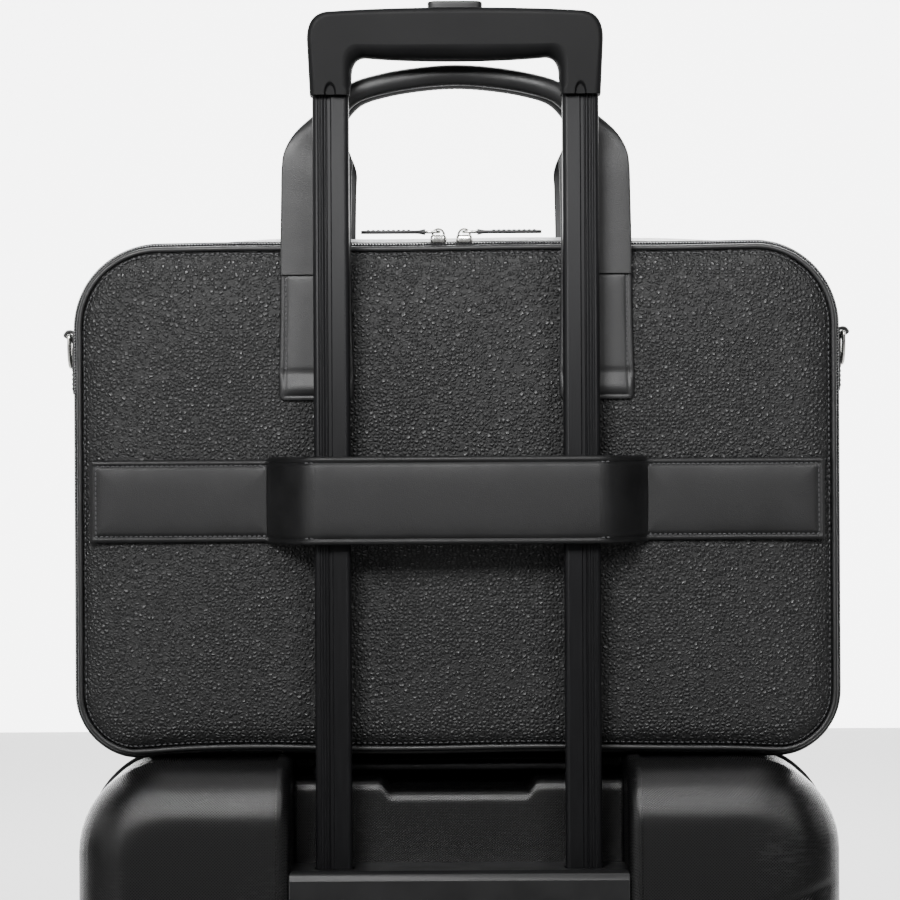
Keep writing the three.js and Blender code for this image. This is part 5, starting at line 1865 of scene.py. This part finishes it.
@dataclass
class Studio:
    """A plain pale studio with soft lights, and a level camera behind the case."""

    distance: float = 2.10
    frame_width: float = 0.485
    height: float = 0.7312
    aside: float = -0.0038
    roll: float = 0.3
    wall_glow: float = 4.6
    near_glow: float = 0.22
    air: float = 0.035

    def camera(self) -> None:
        """A long lens whose width of view at the bag's back panel is frame_width."""
        lens = bpy.data.cameras.new("camera")
        lens.sensor_width = 36.0
        lens.lens = lens.sensor_width * self.distance / self.frame_width
        lens.clip_start, lens.clip_end = 0.05, 50.0
        obj = bpy.data.objects.new("camera", lens)
        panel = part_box("back_panel")[0].y
        obj.location = (self.aside, panel - self.distance, self.height)
        obj.rotation_euler = (math.pi / 2, math.radians(self.roll), 0)
        bpy.context.scene.collection.objects.link(obj)
        bpy.context.scene.camera = obj

    def light(self, name: str, place: Sequence[float], aim: Sequence[float], size: float, power: float,
              spread: float = 180.0) -> None:
        """A soft square light.

        Args:
            name: its name.
            place: where it stands, in metres.
            aim: what it faces.
            size: its side.
            power: its power in watts.
            spread: the angle that its grid lets out, in degrees.
        """
        lamp = bpy.data.lights.new(name, "AREA")
        lamp.size, lamp.energy = size, power
        lamp.spread = math.radians(spread)
        obj = bpy.data.objects.new(name, lamp)
        obj.location = place
        obj.rotation_euler = (Vector(aim) - Vector(place)).to_track_quat("-Z", "Y").to_euler()
        bpy.context.scene.collection.objects.link(obj)

    def sheet(self, name: str, corners: Sequence[Sequence[float]], paint: bpy.types.Material) -> None:
        """A flat four-sided part of the studio."""
        mesh = bpy.data.meshes.new(name)
        mesh.from_pydata([tuple(c) for c in corners], [], [(0, 1, 2, 3)])
        mesh.materials.append(paint)
        obj = bpy.data.objects.new(name, mesh)
        bpy.context.scene.collection.objects.link(obj)

    def surroundings(self) -> None:
        """A wide pale floor and a bright wall far behind."""
        paper = Board("studio_floor").surface(Base_Color=(0.50, 0.50, 0.50, 1), Roughness=0.85)
        self.sheet("floor", [(-9, -8, 0), (9, -8, 0), (9, 8, 0), (-9, 8, 0)], paper)
        for name, y, glow, shade in (("far", 8.0, self.wall_glow, 0.9), ("near", -8.0, self.near_glow, 0.1)):
            paint = Board(f"studio_{name}_wall").surface(Base_Color=(shade, shade, shade, 1), Roughness=1.0,
                                                         Emission_Color=(1, 1, 1, 1), Emission_Strength=glow)
            self.sheet(name + "_wall", [(-9, y, 0), (9, y, 0), (9, y, 9), (-9, y, 9)], paint)

    def build(self) -> None:
        """Sets up the camera, the floor, the lights and the pale surroundings."""
        self.camera()
        self.surroundings()
        self.light("key", (-0.6, -2.2, 2.0), (0, 0, 1.2), 0.8, 13.5, 48)
        self.light("fill", (0.95, -2.2, 1.9), (0, 0, 0.95), 0.7, 4.5, 60)
        self.light("side", (-1.9, -1.5, 1.1), (0, 0, 0.75), 0.7, 12)
        self.light("top", (0.1, -0.6, 2.4), (0, 0, 0.6), 0.8, 12)
        self.light("rim_left", (-2.2, 0.7, 1.3), (0, 0, 0.7), 0.8, 8)
        self.light("rim_right", (2.2, 0.7, 1.3), (0, 0, 0.7), 0.8, 10)
        self.light("floor_behind", (0, 4.3, 3.4), (0, 4.6, 0), 2.6, 520)
        self.light("front", (0.9, 2.4, 1.9), (0, 0, 0.6), 1.0, 44)
        world = bpy.data.worlds.new("studio")
        world.use_nodes = True
        shade = next(n for n in world.node_tree.nodes if n.type == "BACKGROUND")
        shade.inputs[0].default_value = (1, 1, 1, 1)
        shade.inputs[1].default_value = self.air
        bpy.context.scene.world = world


def handles() -> list[CarryHandle]:
    """The bag's two carry handles, each starting from the height of its fold joint."""
    joints = frame["record"]["behaviour"]["joints"]
    hinge = {j["child"]: j["pos_m"][2] / MM for j in joints if "handle_fold" in j["name"]}
    return [
        CarryHandle("rear_bag_handle", Body.BAG, Body.REAR_HANDLE, -1, hinge["rear_bag_handle"]),
        CarryHandle("front_bag_handle", Body.BAG_FRONT, Body.FRONT_HANDLE, 1, hinge["front_bag_handle"]),
    ]


def main() -> None:
    """Builds the studio, then each sub-assembly in order, and reports each."""
    logging.basicConfig(level=logging.INFO, format="%(message)s")
    Studio().build()
    Bag().build()
    straps = SewnStraps()
    straps.trolley_band()
    straps.tabs()
    for handle in handles():
        handle.build()
    BagHardware().build()
    HardCase().build()
    Casters().build()
    Telescope().build()


if __name__ == "__main__":
    main()
